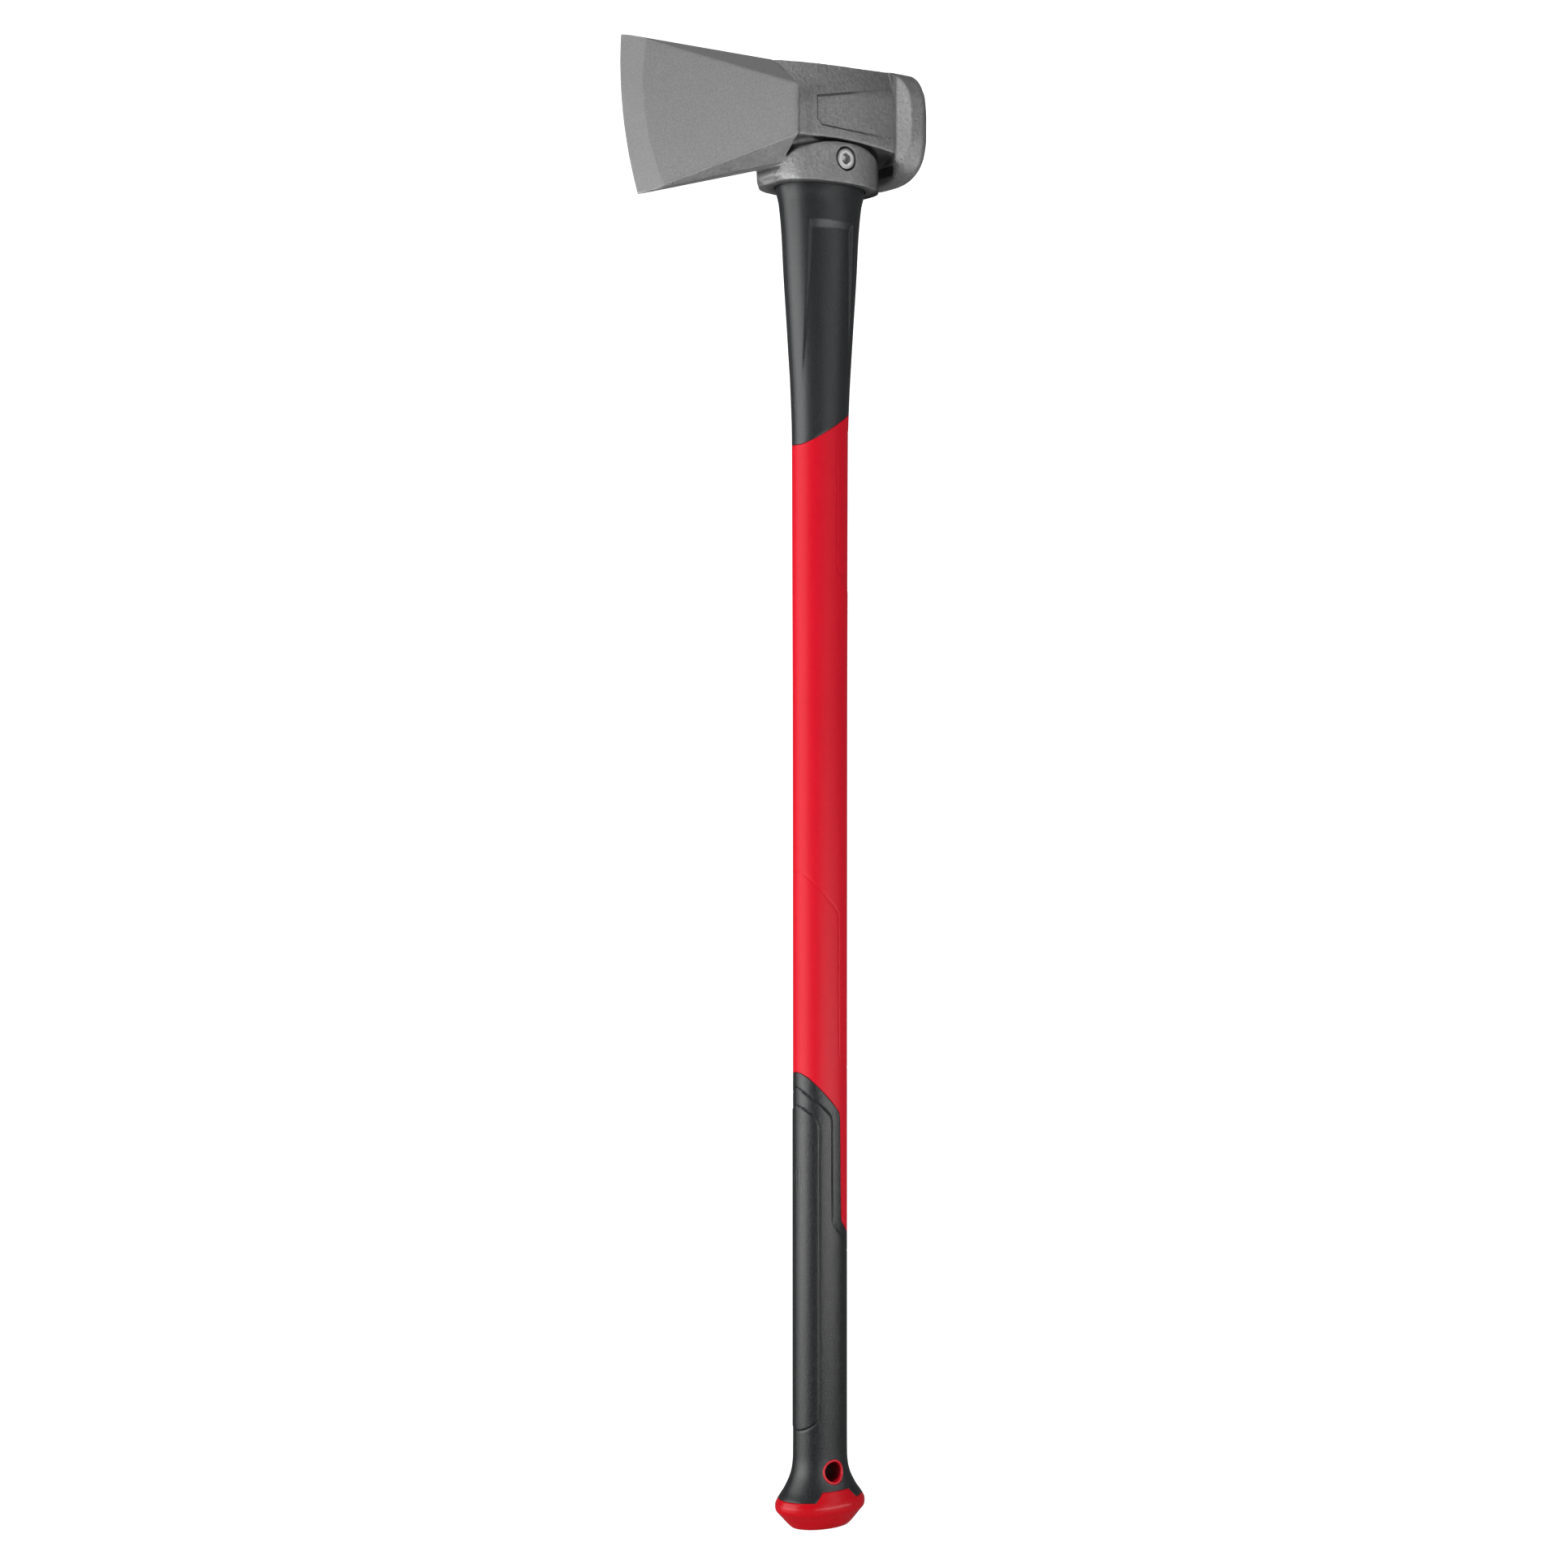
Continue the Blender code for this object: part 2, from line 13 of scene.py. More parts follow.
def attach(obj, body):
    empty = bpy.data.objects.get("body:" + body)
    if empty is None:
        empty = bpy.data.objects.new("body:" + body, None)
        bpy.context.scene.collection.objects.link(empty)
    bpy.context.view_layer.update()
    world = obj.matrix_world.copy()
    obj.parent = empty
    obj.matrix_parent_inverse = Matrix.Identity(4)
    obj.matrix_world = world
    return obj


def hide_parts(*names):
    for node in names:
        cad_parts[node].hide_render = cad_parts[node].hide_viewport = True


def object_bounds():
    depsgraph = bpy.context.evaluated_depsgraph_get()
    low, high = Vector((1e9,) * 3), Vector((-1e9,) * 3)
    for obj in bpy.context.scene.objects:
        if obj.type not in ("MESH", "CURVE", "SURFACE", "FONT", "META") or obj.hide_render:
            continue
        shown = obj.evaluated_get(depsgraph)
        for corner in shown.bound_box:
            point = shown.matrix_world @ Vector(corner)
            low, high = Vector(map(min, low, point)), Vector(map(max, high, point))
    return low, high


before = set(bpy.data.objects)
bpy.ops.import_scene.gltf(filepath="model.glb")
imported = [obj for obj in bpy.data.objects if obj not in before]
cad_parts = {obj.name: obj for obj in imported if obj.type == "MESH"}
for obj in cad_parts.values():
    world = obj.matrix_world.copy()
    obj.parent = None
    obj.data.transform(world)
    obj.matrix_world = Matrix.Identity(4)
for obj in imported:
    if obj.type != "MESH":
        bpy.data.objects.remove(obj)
cad_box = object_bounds()

MM = 0.001
TOP = cad_box[1].z / MM  # top of the head
TURN = np.linspace(0, 2 * np.pi, 96, endpoint=False)  # angles round a turned piece

# Head: the cutting edge's arc, the wedge's faces, the eye block, the collar and the poll
EDGE_CENTRE = (103.7, 897)  # x and z
EDGE_RADIUS = 250.9
EDGE_FLAT = 0.35  # the edge is ground back this much
BEVEL_ANGLE = np.radians(18)
BEVEL_WIDTH = 13.3  # at its narrowest, level with BEVEL_MIDDLE
BEVEL_MIDDLE = 875
CHEEK_ANGLE = np.radians(14)
CHEEK_START = (16.4, 5.04)  # how far in from the edge the cheeks start, and their half thickness there
WEDGE_REAR = -36
REAR_LEAN = 0.15
CHEEK_REAR_HALF = 28.6
HEEL = (-134.8, 819.1)
UNDERSIDE_SLOPE = 0.3015
BLOCK_HALF = 26
COLLAR_BOTTOM = 838
COLLAR_PEAK = 863.5
COLLAR_HALF = (38.7, 28.5)
POLL_CENTRE = 880.6
POLL_HALF = 34.6
POLL_CREASE = 38.2  # where the flange's back rises from the eye block's side
POLL_FACE = 61.5
HEAD_STEP = 0.9  # cell of the grid that the head is read from

# Eye, its socket, and the bolt across the collar
SOCKET_TOP = 843.5
SOCKET_OVAL = (31, 23.1)
EYE_BOTTOM = (24.5, 15)
EYE_TOP = (23, 13.2)
CORE_OVAL = (14.2, 10.2)
CORE_TOP = 909
RESIN_TOP = 911
BOLT_Z = 853.2
BOLT_SEAT = -20
BOLT_FACE = -28
NUT_SEAT = 18.2
HEAD_BORE = 7.6
NUT_BORE = 8.8
WALL_HOLE = 4.6

# Handle's skin: (z, half length in x, half width in y), with the butt's chamfer and crease
SKIN = np.array((
    (0, 19.2, 13.2), (0.25, 20, 14), (1.2, 21.2, 15), (9.4, 29.1, 20.7),
    (10.1, 29.8, 21.3), (11, 30.4, 21.8), (12.6, 30.8, 22.2), (14.6, 30.8, 22.2),
    (17.2, 29.7, 21.5), (20.2, 27.7, 20.1), (23.4, 25.2, 18.6), (26.4, 23.4, 17.4),
    (29.4, 21.7, 16.4), (33, 20.2, 15.4), (37, 19.1, 14.8), (44, 18.4, 14.3),
    (60, 18.3, 14.2), (230, 18.3, 14.2), (509, 18.5, 14.4), (600, 18.8, 14.6),
    (682, 19.1, 14.8), (703, 19.7, 15.3), (744, 22.2, 16.9), (785, 25, 18.8),
    (810, 26.4, 19.7), (828, 28.3, 20.9), (838, 30.4, 22.5), (843.2, 30.4, 22.5),
))
COVER = 2.3  # thickness of the grip
GAP = 0.3
SEAM_GAP = 0.12  # gap where one moulding meets the next on the skin
LIP = 0.35  # rounding of a moulding's edge
JACKET_TONGUE = (16.2, 12.2)
JACKET_FOOT = 15
GUARD_TOP = 843.2
SPIGOT_OVAL = (11, 7.0)
SPIGOT_TOP = 24
LANYARD_Z = 35.5
BUSH_OUTER = 7.65
BUSH_INNER = 6.1

# Lines moulded on the skin, as (degrees from the front, z), and the top edge of the grip
GRIP_EDGE = (
    (0, 285), (16, 284.4), (36, 281.7), (53, 277.3), (68, 272.7), (86.5, 266.4), (102, 261.2),
    (107, 258.6), (108.5, 254), (109.5, 224), (111, 194.5), (113.5, 191), (127, 186.8),
    (150, 181.6), (180, 178),
)
GRIP_LINE = (
    (0, 275.4), (14, 274.2), (36, 270.7), (52.5, 266.9), (68, 263), (79.5, 259.6), (85.5, 257),
    (87.6, 253.5), (87.8, 224), (88.6, 194), (91, 190.3), (103, 185.8), (127, 178), (150, 171.5),
    (180, 167.5),
)
PALM_PANEL = (
    (-20, 264.3), (0, 264.3), (26, 262.4), (44, 259.4), (54, 256), (59, 252.4), (60.3, 247),
    (60, 195), (59.5, 78), (59, 73.6), (58, 69.9), (55.2, 67.4), (49, 65.7), (41.2, 64.1),
    (31, 62.6), (19.8, 61.6), (6, 60.9), (0, 60.8), (-20, 60.8),
)
JACKET_ARCH = (
    (-20, 410.5), (0, 410.5), (11, 410.2), (24, 408.9), (38.5, 406), (54.5, 401.3), (70, 396.4),
    (83, 391.7), (97, 386.9), (103, 384.3), (105.2, 381), (105.5, 296.5), (107, 294), (127, 290),
    (150, 286.5), (180, 284),
)
JACKET_PANEL = (
    (180, 690), (150, 687), (127, 682.8), (107, 679), (101.5, 676.8), (99.2, 673), (98.8, 600.5),
    (100, 598.5), (131, 590), (155, 585.5), (180, 583),
)


# ---- small maths


def ease(value, low, high):
    """0 below low, 1 above high, smooth between."""
    part = np.clip((value - low) / (high - low), 0, 1.0)
    return part * part * (3.0 - 2.0 * part)


def join(a, b, radius):
    """Union of two distance fields, with a fillet."""
    corner = np.hypot(np.maximum(radius - a, 0), np.maximum(radius - b, 0))
    return np.maximum(radius, np.minimum(a, b)) - corner


def meet(a, b, radius):
    """Intersection of two distance fields, with a rounded edge."""
    corner = np.hypot(np.maximum(radius + a, 0), np.maximum(radius + b, 0))
    return np.minimum(-radius, np.maximum(a, b)) + corner


def cut(a, b, radius):
    return meet(a, -b, radius)


def plane(first, second, third, inside):
    """Distance field of the half space through three points that holds a fourth."""
    first = np.array(first)
    normal = np.cross(np.array(second) - first, np.array(third) - first)
    normal = normal / np.linalg.norm(normal)
    if np.dot(np.array(inside) - first, normal) > 0:
        normal = -normal

    def field(x, y, z):
        return (x - first[0]) * normal[0] + (y - first[1]) * normal[1] + (z - first[2]) * normal[2]

    return field


def oval_distance(x, y, half_x, half_y, power=2.0):
    """Distance to an upright superelliptic cylinder, close to exact near its wall."""
    u = np.abs(x) / half_x
    v = np.abs(y) / half_y
    total = u**power + v**power + 1e-9
    level = total ** (1.0 / power)
    slope = total ** (1.0 / power - 1.0)
    along_x = slope * u ** (power - 1.0) / half_x
    along_y = slope * v ** (power - 1.0) / half_y
    return (level - 1.0) / np.maximum(np.hypot(along_x, along_y), 0.004)


def smooth_curve(knots, values, at):
    """Monotone cubic through the knots, with no overshoot."""
    width = np.diff(knots)
    slope = np.diff(values) / width
    inner = np.where(slope[1:] * slope[:-1] > 0, 2 * slope[1:] * slope[:-1], 0)
    inner = inner / np.where(inner == 0, 1.0, slope[1:] + slope[:-1])
    tangent = np.concatenate((slope[:1], inner, slope[-1:]))
    spot = np.clip(np.searchsorted(knots, at) - 1, 0, len(width) - 1)
    step = width[spot]
    t = (at - knots[spot]) / step
    start, end = values[spot], values[spot + 1]
    rise = (2 * t**3 - 3 * t**2 + 1) * start + (3 * t**2 - 2 * t**3) * end
    lean = (t**3 - 2 * t**2 + t) * tangent[spot] + (t**3 - t**2) * tangent[spot + 1]
    return rise + step * lean


# ---- the head's shape


TOP_CHAMFER = plane((-39.5, 27.8, 895), (-131.4, 4.8, 911.9), (-41.3, 4.5, TOP), (-60, 0, 870))
LOW_CHAMFER = plane((-35.5, 27.8, 864.2), (-116, 6.1, 827.8), (-50, 12.5, 844.7), (-60, 0, 870))
BLOCK_TOP = plane((0, 26, 898), (-20, 13, TOP), (30, 19, TOP), (0, 0, 870))
BLOCK_FRONT = plane((-36, 26.2, 892.5), (-41, 3.0, TOP), (-20, 13, TOP), (0, 0, 870))


def edge_distance(x, z):
    """Distance in from the cutting edge's arc."""
    return EDGE_RADIUS - np.hypot(x - EDGE_CENTRE[0], z - EDGE_CENTRE[1])


def cheek_half(distance):
    """Half thickness of the cheeks at a distance in from the cutting edge."""
    return CHEEK_START[1] + (distance - CHEEK_START[0]) * np.tan(CHEEK_ANGLE)


def bevel_width(z):
    return BEVEL_WIDTH + 0.0016 * (z - BEVEL_MIDDLE) ** 2


def bevel_field(x, y, z):
    width = bevel_width(z)
    return (y - edge_distance(x, z) * cheek_half(width) / width) * np.cos(BEVEL_ANGLE)


def cheek_field(x, y, z):
    return (y - cheek_half(edge_distance(x, z))) * np.cos(CHEEK_ANGLE)


def wedge_field(x, y, z):
    body = meet(cheek_field(x, y, z), bevel_field(x, y, z), 0.2)
    body = meet(body, EDGE_FLAT - edge_distance(x, z), 0.1)
    body = meet(body, TOP_CHAMFER(x, y, z), 0.7)
    body = meet(body, LOW_CHAMFER(x, y, z), 0.6)
    underside = (x - HEEL[0]) * UNDERSIDE_SLOPE + HEEL[1] - z
    body = meet(body, underside / np.hypot(1.0, UNDERSIDE_SLOPE), 0.8)
    rear = x - WEDGE_REAR + REAR_LEAN * (CHEEK_REAR_HALF - y)
    return meet(body, rear / np.hypot(1.0, REAR_LEAN), 0.8)


def plate_sides():
    """The plate pocket's outline on the eye's side, as (x slope, z slope, offset) of its edges."""
    return (
        (-0.042, -1.0, 871.97),
        (-0.206, 0.98, -876.32),
        (-1.0, 0, -20),
        (-0.70, -0.71, 608.02),
        (1.0, 0, -37),
    )


def block_field(x, y, z):
    outline = np.maximum.reduce([x * a + z * b + c for a, b, c in plate_sides()])
    depth = 1.3 * (1.0 - ease(x, -4.0, 36))  # the pocket runs out towards the poll
    side = BLOCK_HALF + 0.9 * (1.0 - ease(x, -31, -23)) - depth * ease(-outline, -0.3, 0.5)
    body = meet(y - side, BLOCK_TOP(x, y, z), 5.0)
    body = meet(body, BLOCK_FRONT(x, y, z), 5.0)
    ridge = 865.6 - 0.0017 * (x + 5.0) ** 2
    under = (y - BLOCK_HALF) * 0.34 - (z - ridge) * 0.94
    body = meet(body, under, 1.0)
    return meet(body, np.maximum(-38 - x, x - 44), 1.0)


def collar_field(x, y, z):
    rise = z - COLLAR_BOTTOM
    half_x = COLLAR_HALF[0] + 0.05 * rise
    power = 2.25 + 0.6 * ease(-x, 0, 30)  # squarer towards the wedge
    side = oval_distance(x - 0.3 + 0.04 * rise, y, half_x, COLLAR_HALF[1], power)
    top = z - (COLLAR_PEAK - 0.004 * x * x - 3e-6 * x**4 + 2.0 * ease(-x, 26, 36))
    body = meet(side, top * 0.95, 2.2)
    return meet(body, -rise, 0.5)


def poll_field(x, y, z):
    level = z - POLL_CENTRE
    squareness = 2.9 + 0.5 * ease(level, 0, 20)
    tall = np.abs(level) * 0.975
    across = (y**squareness + tall**squareness) ** (1.0 / squareness)
    back = (POLL_CREASE + 0.93 * (y - BLOCK_HALF) - x) * 0.732
    body = meet(across - POLL_HALF, back, 0.4)
    body = meet(body, POLL_CREASE - x, 0.8)
    body = meet(body, (POLL_CREASE - 0.6 * (level + 20) - x) * 0.857, 3.0)
    chamfer = (across - 30.2) * 0.78 + (x - POLL_FACE) * 0.625
    body = meet(body, chamfer, 1.2)
    crown = x - POLL_FACE + 0.0004 * across * across
    body = meet(body, crown, 0.9)
    hollow = meet(meet(x - 39.3, y - 25.6, 1.0), z - 862, 1.0)  # under the eye block
    return cut(body, hollow, 0.8)


def rod_field(x, z, radius):
    return np.hypot(x, z - BOLT_Z) - radius


def head_field(x, signed_y, z):
    """Distance field of the whole forging."""
    y = np.abs(signed_y)
    body = join(block_field(x, y, z), poll_field(x, y, z), 0.8)
    front = 1.0 - ease(x, -30, -6.0)
    neck = oval_distance(x + 1.5, y, 40, 21 + 3.5 * front, 2.3 + 0.3 * front)
    neck = meet(neck, np.maximum(841 - z, z - 880), 1.0)
    body = join(body, neck, 1.5 + 1.5 * front)
    body = join(body, collar_field(x, y, z), 2.0 + 1.5 * front)
    corner = ease(z, 847, 853) * (1.0 - 0.67 * ease(z, 857, 863)) * ease(y, 20, 25)
    fillet = 1.3 + 3.0 * corner + 1.8 * ease(z, 884, 892)  # widest above the collar
    body = join(body, wedge_field(x, y, z), fillet)
    body = meet(body, z - TOP, 0.9)
    part = np.clip((z - SOCKET_TOP) / (TOP - SOCKET_TOP), -0.1, 1.1)
    half_x = EYE_BOTTOM[0] + part * (EYE_TOP[0] - EYE_BOTTOM[0])
    half_y = EYE_BOTTOM[1] + part * (EYE_TOP[1] - EYE_BOTTOM[1])
    body = cut(body, oval_distance(x, y, half_x, half_y), 0.8)
    socket = np.maximum(oval_distance(x, y, *SOCKET_OVAL), z - SOCKET_TOP)
    body = cut(body, socket, 0.5)
    body = cut(body, np.maximum(rod_field(x, z, HEAD_BORE), signed_y - BOLT_SEAT), 0.35)
    body = cut(body, np.maximum(rod_field(x, z, NUT_BORE), NUT_SEAT - signed_y), 0.35)
    return cut(body, rod_field(x, z, WALL_HOLE), 0.1)


# ---- mesh from a field


def gradient(field, points, reach=0.02):
    """Unit slope of a field at points."""
    slopes = []
    for axis in range(3):
        step = np.zeros(3)
        step[axis] = reach
        slopes.append(field(*(points + step).T) - field(*(points - step).T))
    slopes = np.stack(slopes, axis=1)
    return slopes / np.maximum(np.linalg.norm(slopes, axis=1, keepdims=True), 1e-9)


def crossings(field, inside, low, step, axis):
    """Grid edges along an axis that cross the surface: their index, crossing point and turn."""
    ahead = np.roll(inside, -1, axis)
    changed = inside != ahead
    last = [slice(None)] * 3
    last[axis] = -1
    changed[tuple(last)] = False
    index = np.argwhere(changed)
    start = low + index * step
    end = start.copy()
    end[:, axis] += step
    starts_inside = inside[tuple(index.T)]
    near = np.where(starts_inside[:, None], start, end)
    far = np.where(starts_inside[:, None], end, start)
    for _ in range(12):
        middle = (near + far) / 2
        within = (field(*middle.T) < 0)[:, None]
        near = np.where(within, middle, near)
        far = np.where(within, far, middle)
    return index, (near + far) / 2, starts_inside


def mesh_from_field(field, low, high, step):
    """Dual contouring: one vertex in each cell that the surface crosses, placed to keep edges crisp."""
    counts = np.ceil((np.array(high) - np.array(low)) / step).astype(int) + 1
    low = np.array(low, float)
    axes = [low[i] + step * np.arange(counts[i]) for i in range(3)]
    inside = np.stack([field(x, axes[1][:, None], axes[2][None, :]) < 0 for x in axes[0]])
    strides = np.array((counts[1] * counts[2], counts[2], 1))
    cell_lists, points, normals, quads = [], [], [], []
    for axis in range(3):
        index, spot, starts_inside = crossings(field, inside, low, step, axis)
        b, c = (axis + 1) % 3, (axis + 2) % 3
        base = index @ strides
        around = [base, base - strides[b], base - strides[b] - strides[c], base - strides[c]]
        around = np.stack(around, axis=1)
        quads.append(np.where(starts_inside[:, None], around, around[:, ::-1]))
        slope = gradient(field, spot)
        for corner in range(4):
            cell_lists.append(around[:, corner])
            points.append(spot)
            normals.append(slope)
    cells = np.concatenate(cell_lists)
    points = np.concatenate(points)
    normals = np.concatenate(normals)
    used, member = np.unique(cells, return_inverse=True)
    member = member.reshape(-1)
    count = np.bincount(member)
    middle = np.stack([np.bincount(member, points[:, i]) for i in range(3)], axis=1) / count[:, None]
    offset = np.einsum("ij,ij->i", normals, points - middle[member])
    matrix = np.empty((len(used), 3, 3))
    vector = np.empty((len(used), 3))
    for i in range(3):
        vector[:, i] = np.bincount(member, normals[:, i] * offset)
        for j in range(3):
            matrix[:, i, j] = np.bincount(member, normals[:, i] * normals[:, j])
    matrix += 0.06 * np.eye(3)  # keeps a vertex on flat ground near the middle of its crossings
    shift = np.linalg.solve(matrix, vector[:, :, None])[:, :, 0]
    cell_low = low + np.stack(np.unravel_index(used, counts), axis=1) * step
    placed = np.clip(middle + shift, cell_low, cell_low + step)
    distance = field(*placed.T)
    smooth = gradient(field, placed)
    placed -= smooth * np.clip(distance, -0.15, 0.15)[:, None]
    faces = np.searchsorted(used, np.concatenate(quads))
    _, which, times = np.unique(np.sort(faces, axis=1), axis=0, return_inverse=True, return_counts=True)
    return placed, faces[times[which.reshape(-1)] == 1]  # a sheet thinner than a cell gives doubled faces


def painted_shade(field, points, normals):
    """How far each point of the surface is hemmed in by its surroundings, 0 to 1; it sets how much shade is
    painted there.
    """
    total = 0
    for reach, share in ((1.5, 0.25), (4.0, 0.35), (9.0, 0.4)):
        clear = field(*(points + normals * reach).T)
        total += share * np.clip((0.85 * reach - clear) / (0.85 * reach), 0, 1.0)
    return total


def add_object(name, data):
    thing = bpy.data.objects.new(name, data)
    bpy.context.collection.objects.link(thing)
    return thing


def turn_outward(mesh):
    shell = bmesh.new()
    shell.from_mesh(mesh)
    bmesh.ops.recalc_face_normals(shell, faces=shell.faces)
    shell.to_mesh(mesh)
    shell.free()


def new_piece(name, points, faces, material, sharp=40):
    """A mesh piece from points in millimetres; its name is its CAD node's with one word more."""
    mesh = bpy.data.meshes.new(name)
    mesh.from_pydata(np.asarray(points) * MM, [], [list(map(int, face)) for face in faces])
    mesh.validate()
    turn_outward(mesh)
    mesh.shade_smooth()
    mesh.set_sharp_from_angle(angle=np.radians(sharp))
    mesh.materials.append(material)
    piece = add_object(name, mesh)
    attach(piece, "root")
    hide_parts(name.rpartition("_")[0])
    return piece


def roughen(points, normals, amount, size):
    """Push points along their normals by smooth noise: amount in mm, size of a lump in mm."""
    lumps = np.array([noise.noise(Vector(point)) for point in points / size])
    return points + normals * (amount * lumps)[:, None]


def head_painted_shade(points, normals):
    """How much shade is painted on the steel in the head's hollows, 0 to 1."""
    x, y, z = points[:, 0], np.abs(points[:, 1]), points[:, 2]
    closed = painted_shade(head_field, points, normals) * (0.8 + 0.2 * ease(x, -28, -10))
    closed *= 1.0 - 0.6 * ease(-x, 30, 33) * ease(z, 864, 868)
    # painted shade where shadow falls: the valley under the ridge, the hollow by the poll, the neck under
    # the ridge and the collar's bottom rim
    valley = 0.55 * ease(x, 22, 34) * ease(25.6 - y, 0, 4.0) * ease(868 - z, 0, 9.0)
    valley *= 1.0 - ease(x, 40.2, 41.6)
    pocket = (1.0 - ease(x, 42, 47)) * ease(46.8 - 0.81 * x - 0.58 * y, 0, 1.5)
    pocket *= ease(x, 31, 36) * ease(857 - z, 0, 3.0)
    brow = 0.4 * ease(y, 17, 20) * ease(25.9 - y, 0, 1.0) * ease(z, 855, 861)
    brow *= (1.0 - ease(z, 864, 866)) * ease(38 - np.abs(x), 0, 2.0)
    rim = 0.45 * ease(839.2 - z, 0, 0.8) * (1.0 - ease(oval_distance(x, y, *SOCKET_OVAL), 1.0, 9.0))
    return np.maximum.reduce([closed, valley, pocket, brow, rim])


def make_head(material):
    half = np.ceil(37 / HEAD_STEP) * HEAD_STEP  # a layer of the grid lies on the middle plane
    low = (-149, -half, 816.25)
    high = (65, half, TOP + 2.0)
    points, faces = mesh_from_field(head_field, low, high, HEAD_STEP)
    x, y, z = points[:, 0], np.abs(points[:, 1]), points[:, 2]
    normals = gradient(head_field, points)
    ground = ease(bevel_width(z) - edge_distance(x, z), -0.3, 0.3)
    on_wedge = ease(-x, 36.5, 39.5)
    chamfer = ease(LOW_CHAMFER(x, y, z), -0.8, -0.1) * on_wedge
    machined = ease(-rod_field(x, z, NUT_BORE + 0.5), 0, 0.3)
    flat = np.clip(on_wedge - chamfer, 0, 1.0)
    # painted shade for the hollows, kept on the mesh for the material
    shade = head_painted_shade(points, normals)
    rough = 0.10 * (1.0 - flat) * (1.0 - machined) + 0.015
    points = roughen(points, normals, rough, 7.0)
    points = roughen(points, normals, rough * 0.7, 2.4)
    head = new_piece("maul_head_forging", points, faces, material)
    for name, values in (("ground", ground), ("flat", flat), ("painted_shade", shade)):
        layer = head.data.attributes.new(name, "FLOAT", "POINT")
        layer.data.foreach_set("value", values.astype(np.float32))


# ---- the handle's covers


def spaced(*stops):
    """Numbers from the first stop to the last; each stop is (value, step from there on)."""
    values = []
    for (start, step), (end, _) in zip(stops, stops[1:]):
        count = max(1, round((end - start) / step))
        values.extend(np.linspace(start, end, count, endpoint=False))
    return np.array([*values, stops[-1][0]])


def both_sides(degrees):
    """Angles from 0 to 180 degrees, mirrored, in radians round the handle from its front."""
    half = np.radians(degrees)
    return np.concatenate((half, -half[-2:0:-1]))


def skin_at(z):
    """Half axes of the handle's skin."""
    return smooth_curve(SKIN[:, 0], SKIN[:, 1], z), smooth_curve(SKIN[:, 0], SKIN[:, 2], z)


def make_girth():
    """Length round the handle's straight part, from the front, by angle."""
    angles = np.linspace(0, np.pi, 721)
    speed = np.hypot(18.4 * np.sin(angles), 14.3 * np.cos(angles))
    lengths = np.concatenate(((0,), np.cumsum((speed[1:] + speed[:-1]) / 2 * np.diff(angles))))
    return angles, lengths


GIRTH = make_girth()


def girth(angle):
    """How far round the skin from the front, in mm; negative angles mirror positive ones."""
    return np.interp(np.abs(angle), *GIRTH)


def from_front(degrees):
    return np.sign(degrees) * girth(np.radians(degrees))


def line_distance(angle, z, line):
    """Distance on the unrolled skin to a line of (degrees from the front, z) points."""
    along = girth(angle)
    nearest = np.full(np.shape(z), 1e9)
    points = [(from_front(degrees), height) for degrees, height in line]
    for (s0, z0), (s1, z1) in zip(points, points[1:]):
        ds, dz = s1 - s0, z1 - z0
        part = np.clip(((along - s0) * ds + (z - z0) * dz) / (ds * ds + dz * dz), 0, 1.0)
        nearest = np.minimum(nearest, np.hypot(along - s0 - part * ds, z - z0 - part * dz))
    return nearest


def inside_line(angle, z, line):
    """Whether points of the skin lie inside a closed line."""
    along = girth(angle)
    within = np.zeros(np.shape(z), bool)
    points = [(from_front(degrees), height) for degrees, height in line]
    for (s0, z0), (s1, z1) in zip(points, points[1:] + points[:1]):
        if z0 == z1:
            continue
        crossing = s0 + (z - z0) / (z1 - z0) * (s1 - s0)
        within ^= ((z0 > z) != (z1 > z)) & (along < crossing)
    return within


def groove(distance, depth, width):
    return -depth * np.exp(-((distance / width) ** 2))


def edge_height(line):
    """A function from angle to height that follows a line of (degrees, z)."""
    degrees, heights = np.array(line, float).T

    def height(angle):
        return np.interp(np.degrees(np.abs(angle)), degrees, heights)

    return height


def guard_edge(angle):
    """Height of the neck guard's lower edge; the angle runs from the front, at -X."""
    turned = np.degrees(np.arccos(np.clip(np.cos(angle), -1.0, 1.0)))
    return 677 + 22 * ease(turned, 10, 168)


def cap_edge(angle):
    """Height of the cap's rim, with a tab on each flat side."""
    across = np.abs(np.cos(angle)) * 28
    return 24.2 - 5.7 * (0.7 * np.clip((across - 11.4) / 3.6, 0, 1) + 0.3 * ease(across, 10.9, 15.5))


def fit_rows(levels, angles, low, low_blend, high, high_blend):
    """Heights of rows whose first and last follow two edges, and whose middle stays level."""
    rows = np.repeat(levels[:, None], len(angles), axis=1)
    below = levels < low_blend
    part = ((levels[below] - levels[0]) / (low_blend - levels[0]))[:, None]
    rows[below] = low + part * (low_blend - low)
    above = levels > high_blend
    part = ((levels[above] - high_blend) / (levels[-1] - high_blend))[:, None]
    rows[above] = high_blend + part * (high - high_blend)
    return rows


def ring(angles, z, half_x, half_y):
    x = -half_x * np.cos(angles)
    y = -half_y * np.sin(angles)
    return np.stack((x, y, np.broadcast_to(z, x.shape)), axis=-1)


def lying_ring(radius, y, height):
    """A ring about an axis along Y at a height; the radius and y may go by angle."""
    y = np.broadcast_to(y, TURN.shape)
    return np.stack((radius * np.cos(TURN), y, height + radius * np.sin(TURN)), axis=1)


def wider(oval):
    return [half + GAP for half in oval]


def skin_ring(angles, z, inset=0, relief=None):
    """A ring on the skin, or below it, lifted by the relief."""
    half_x, half_y = skin_at(z)
    lift = -inset
    if relief is not None:
        lift = relief(angles, z) - inset
    return ring(angles, z, half_x + lift, half_y + lift)


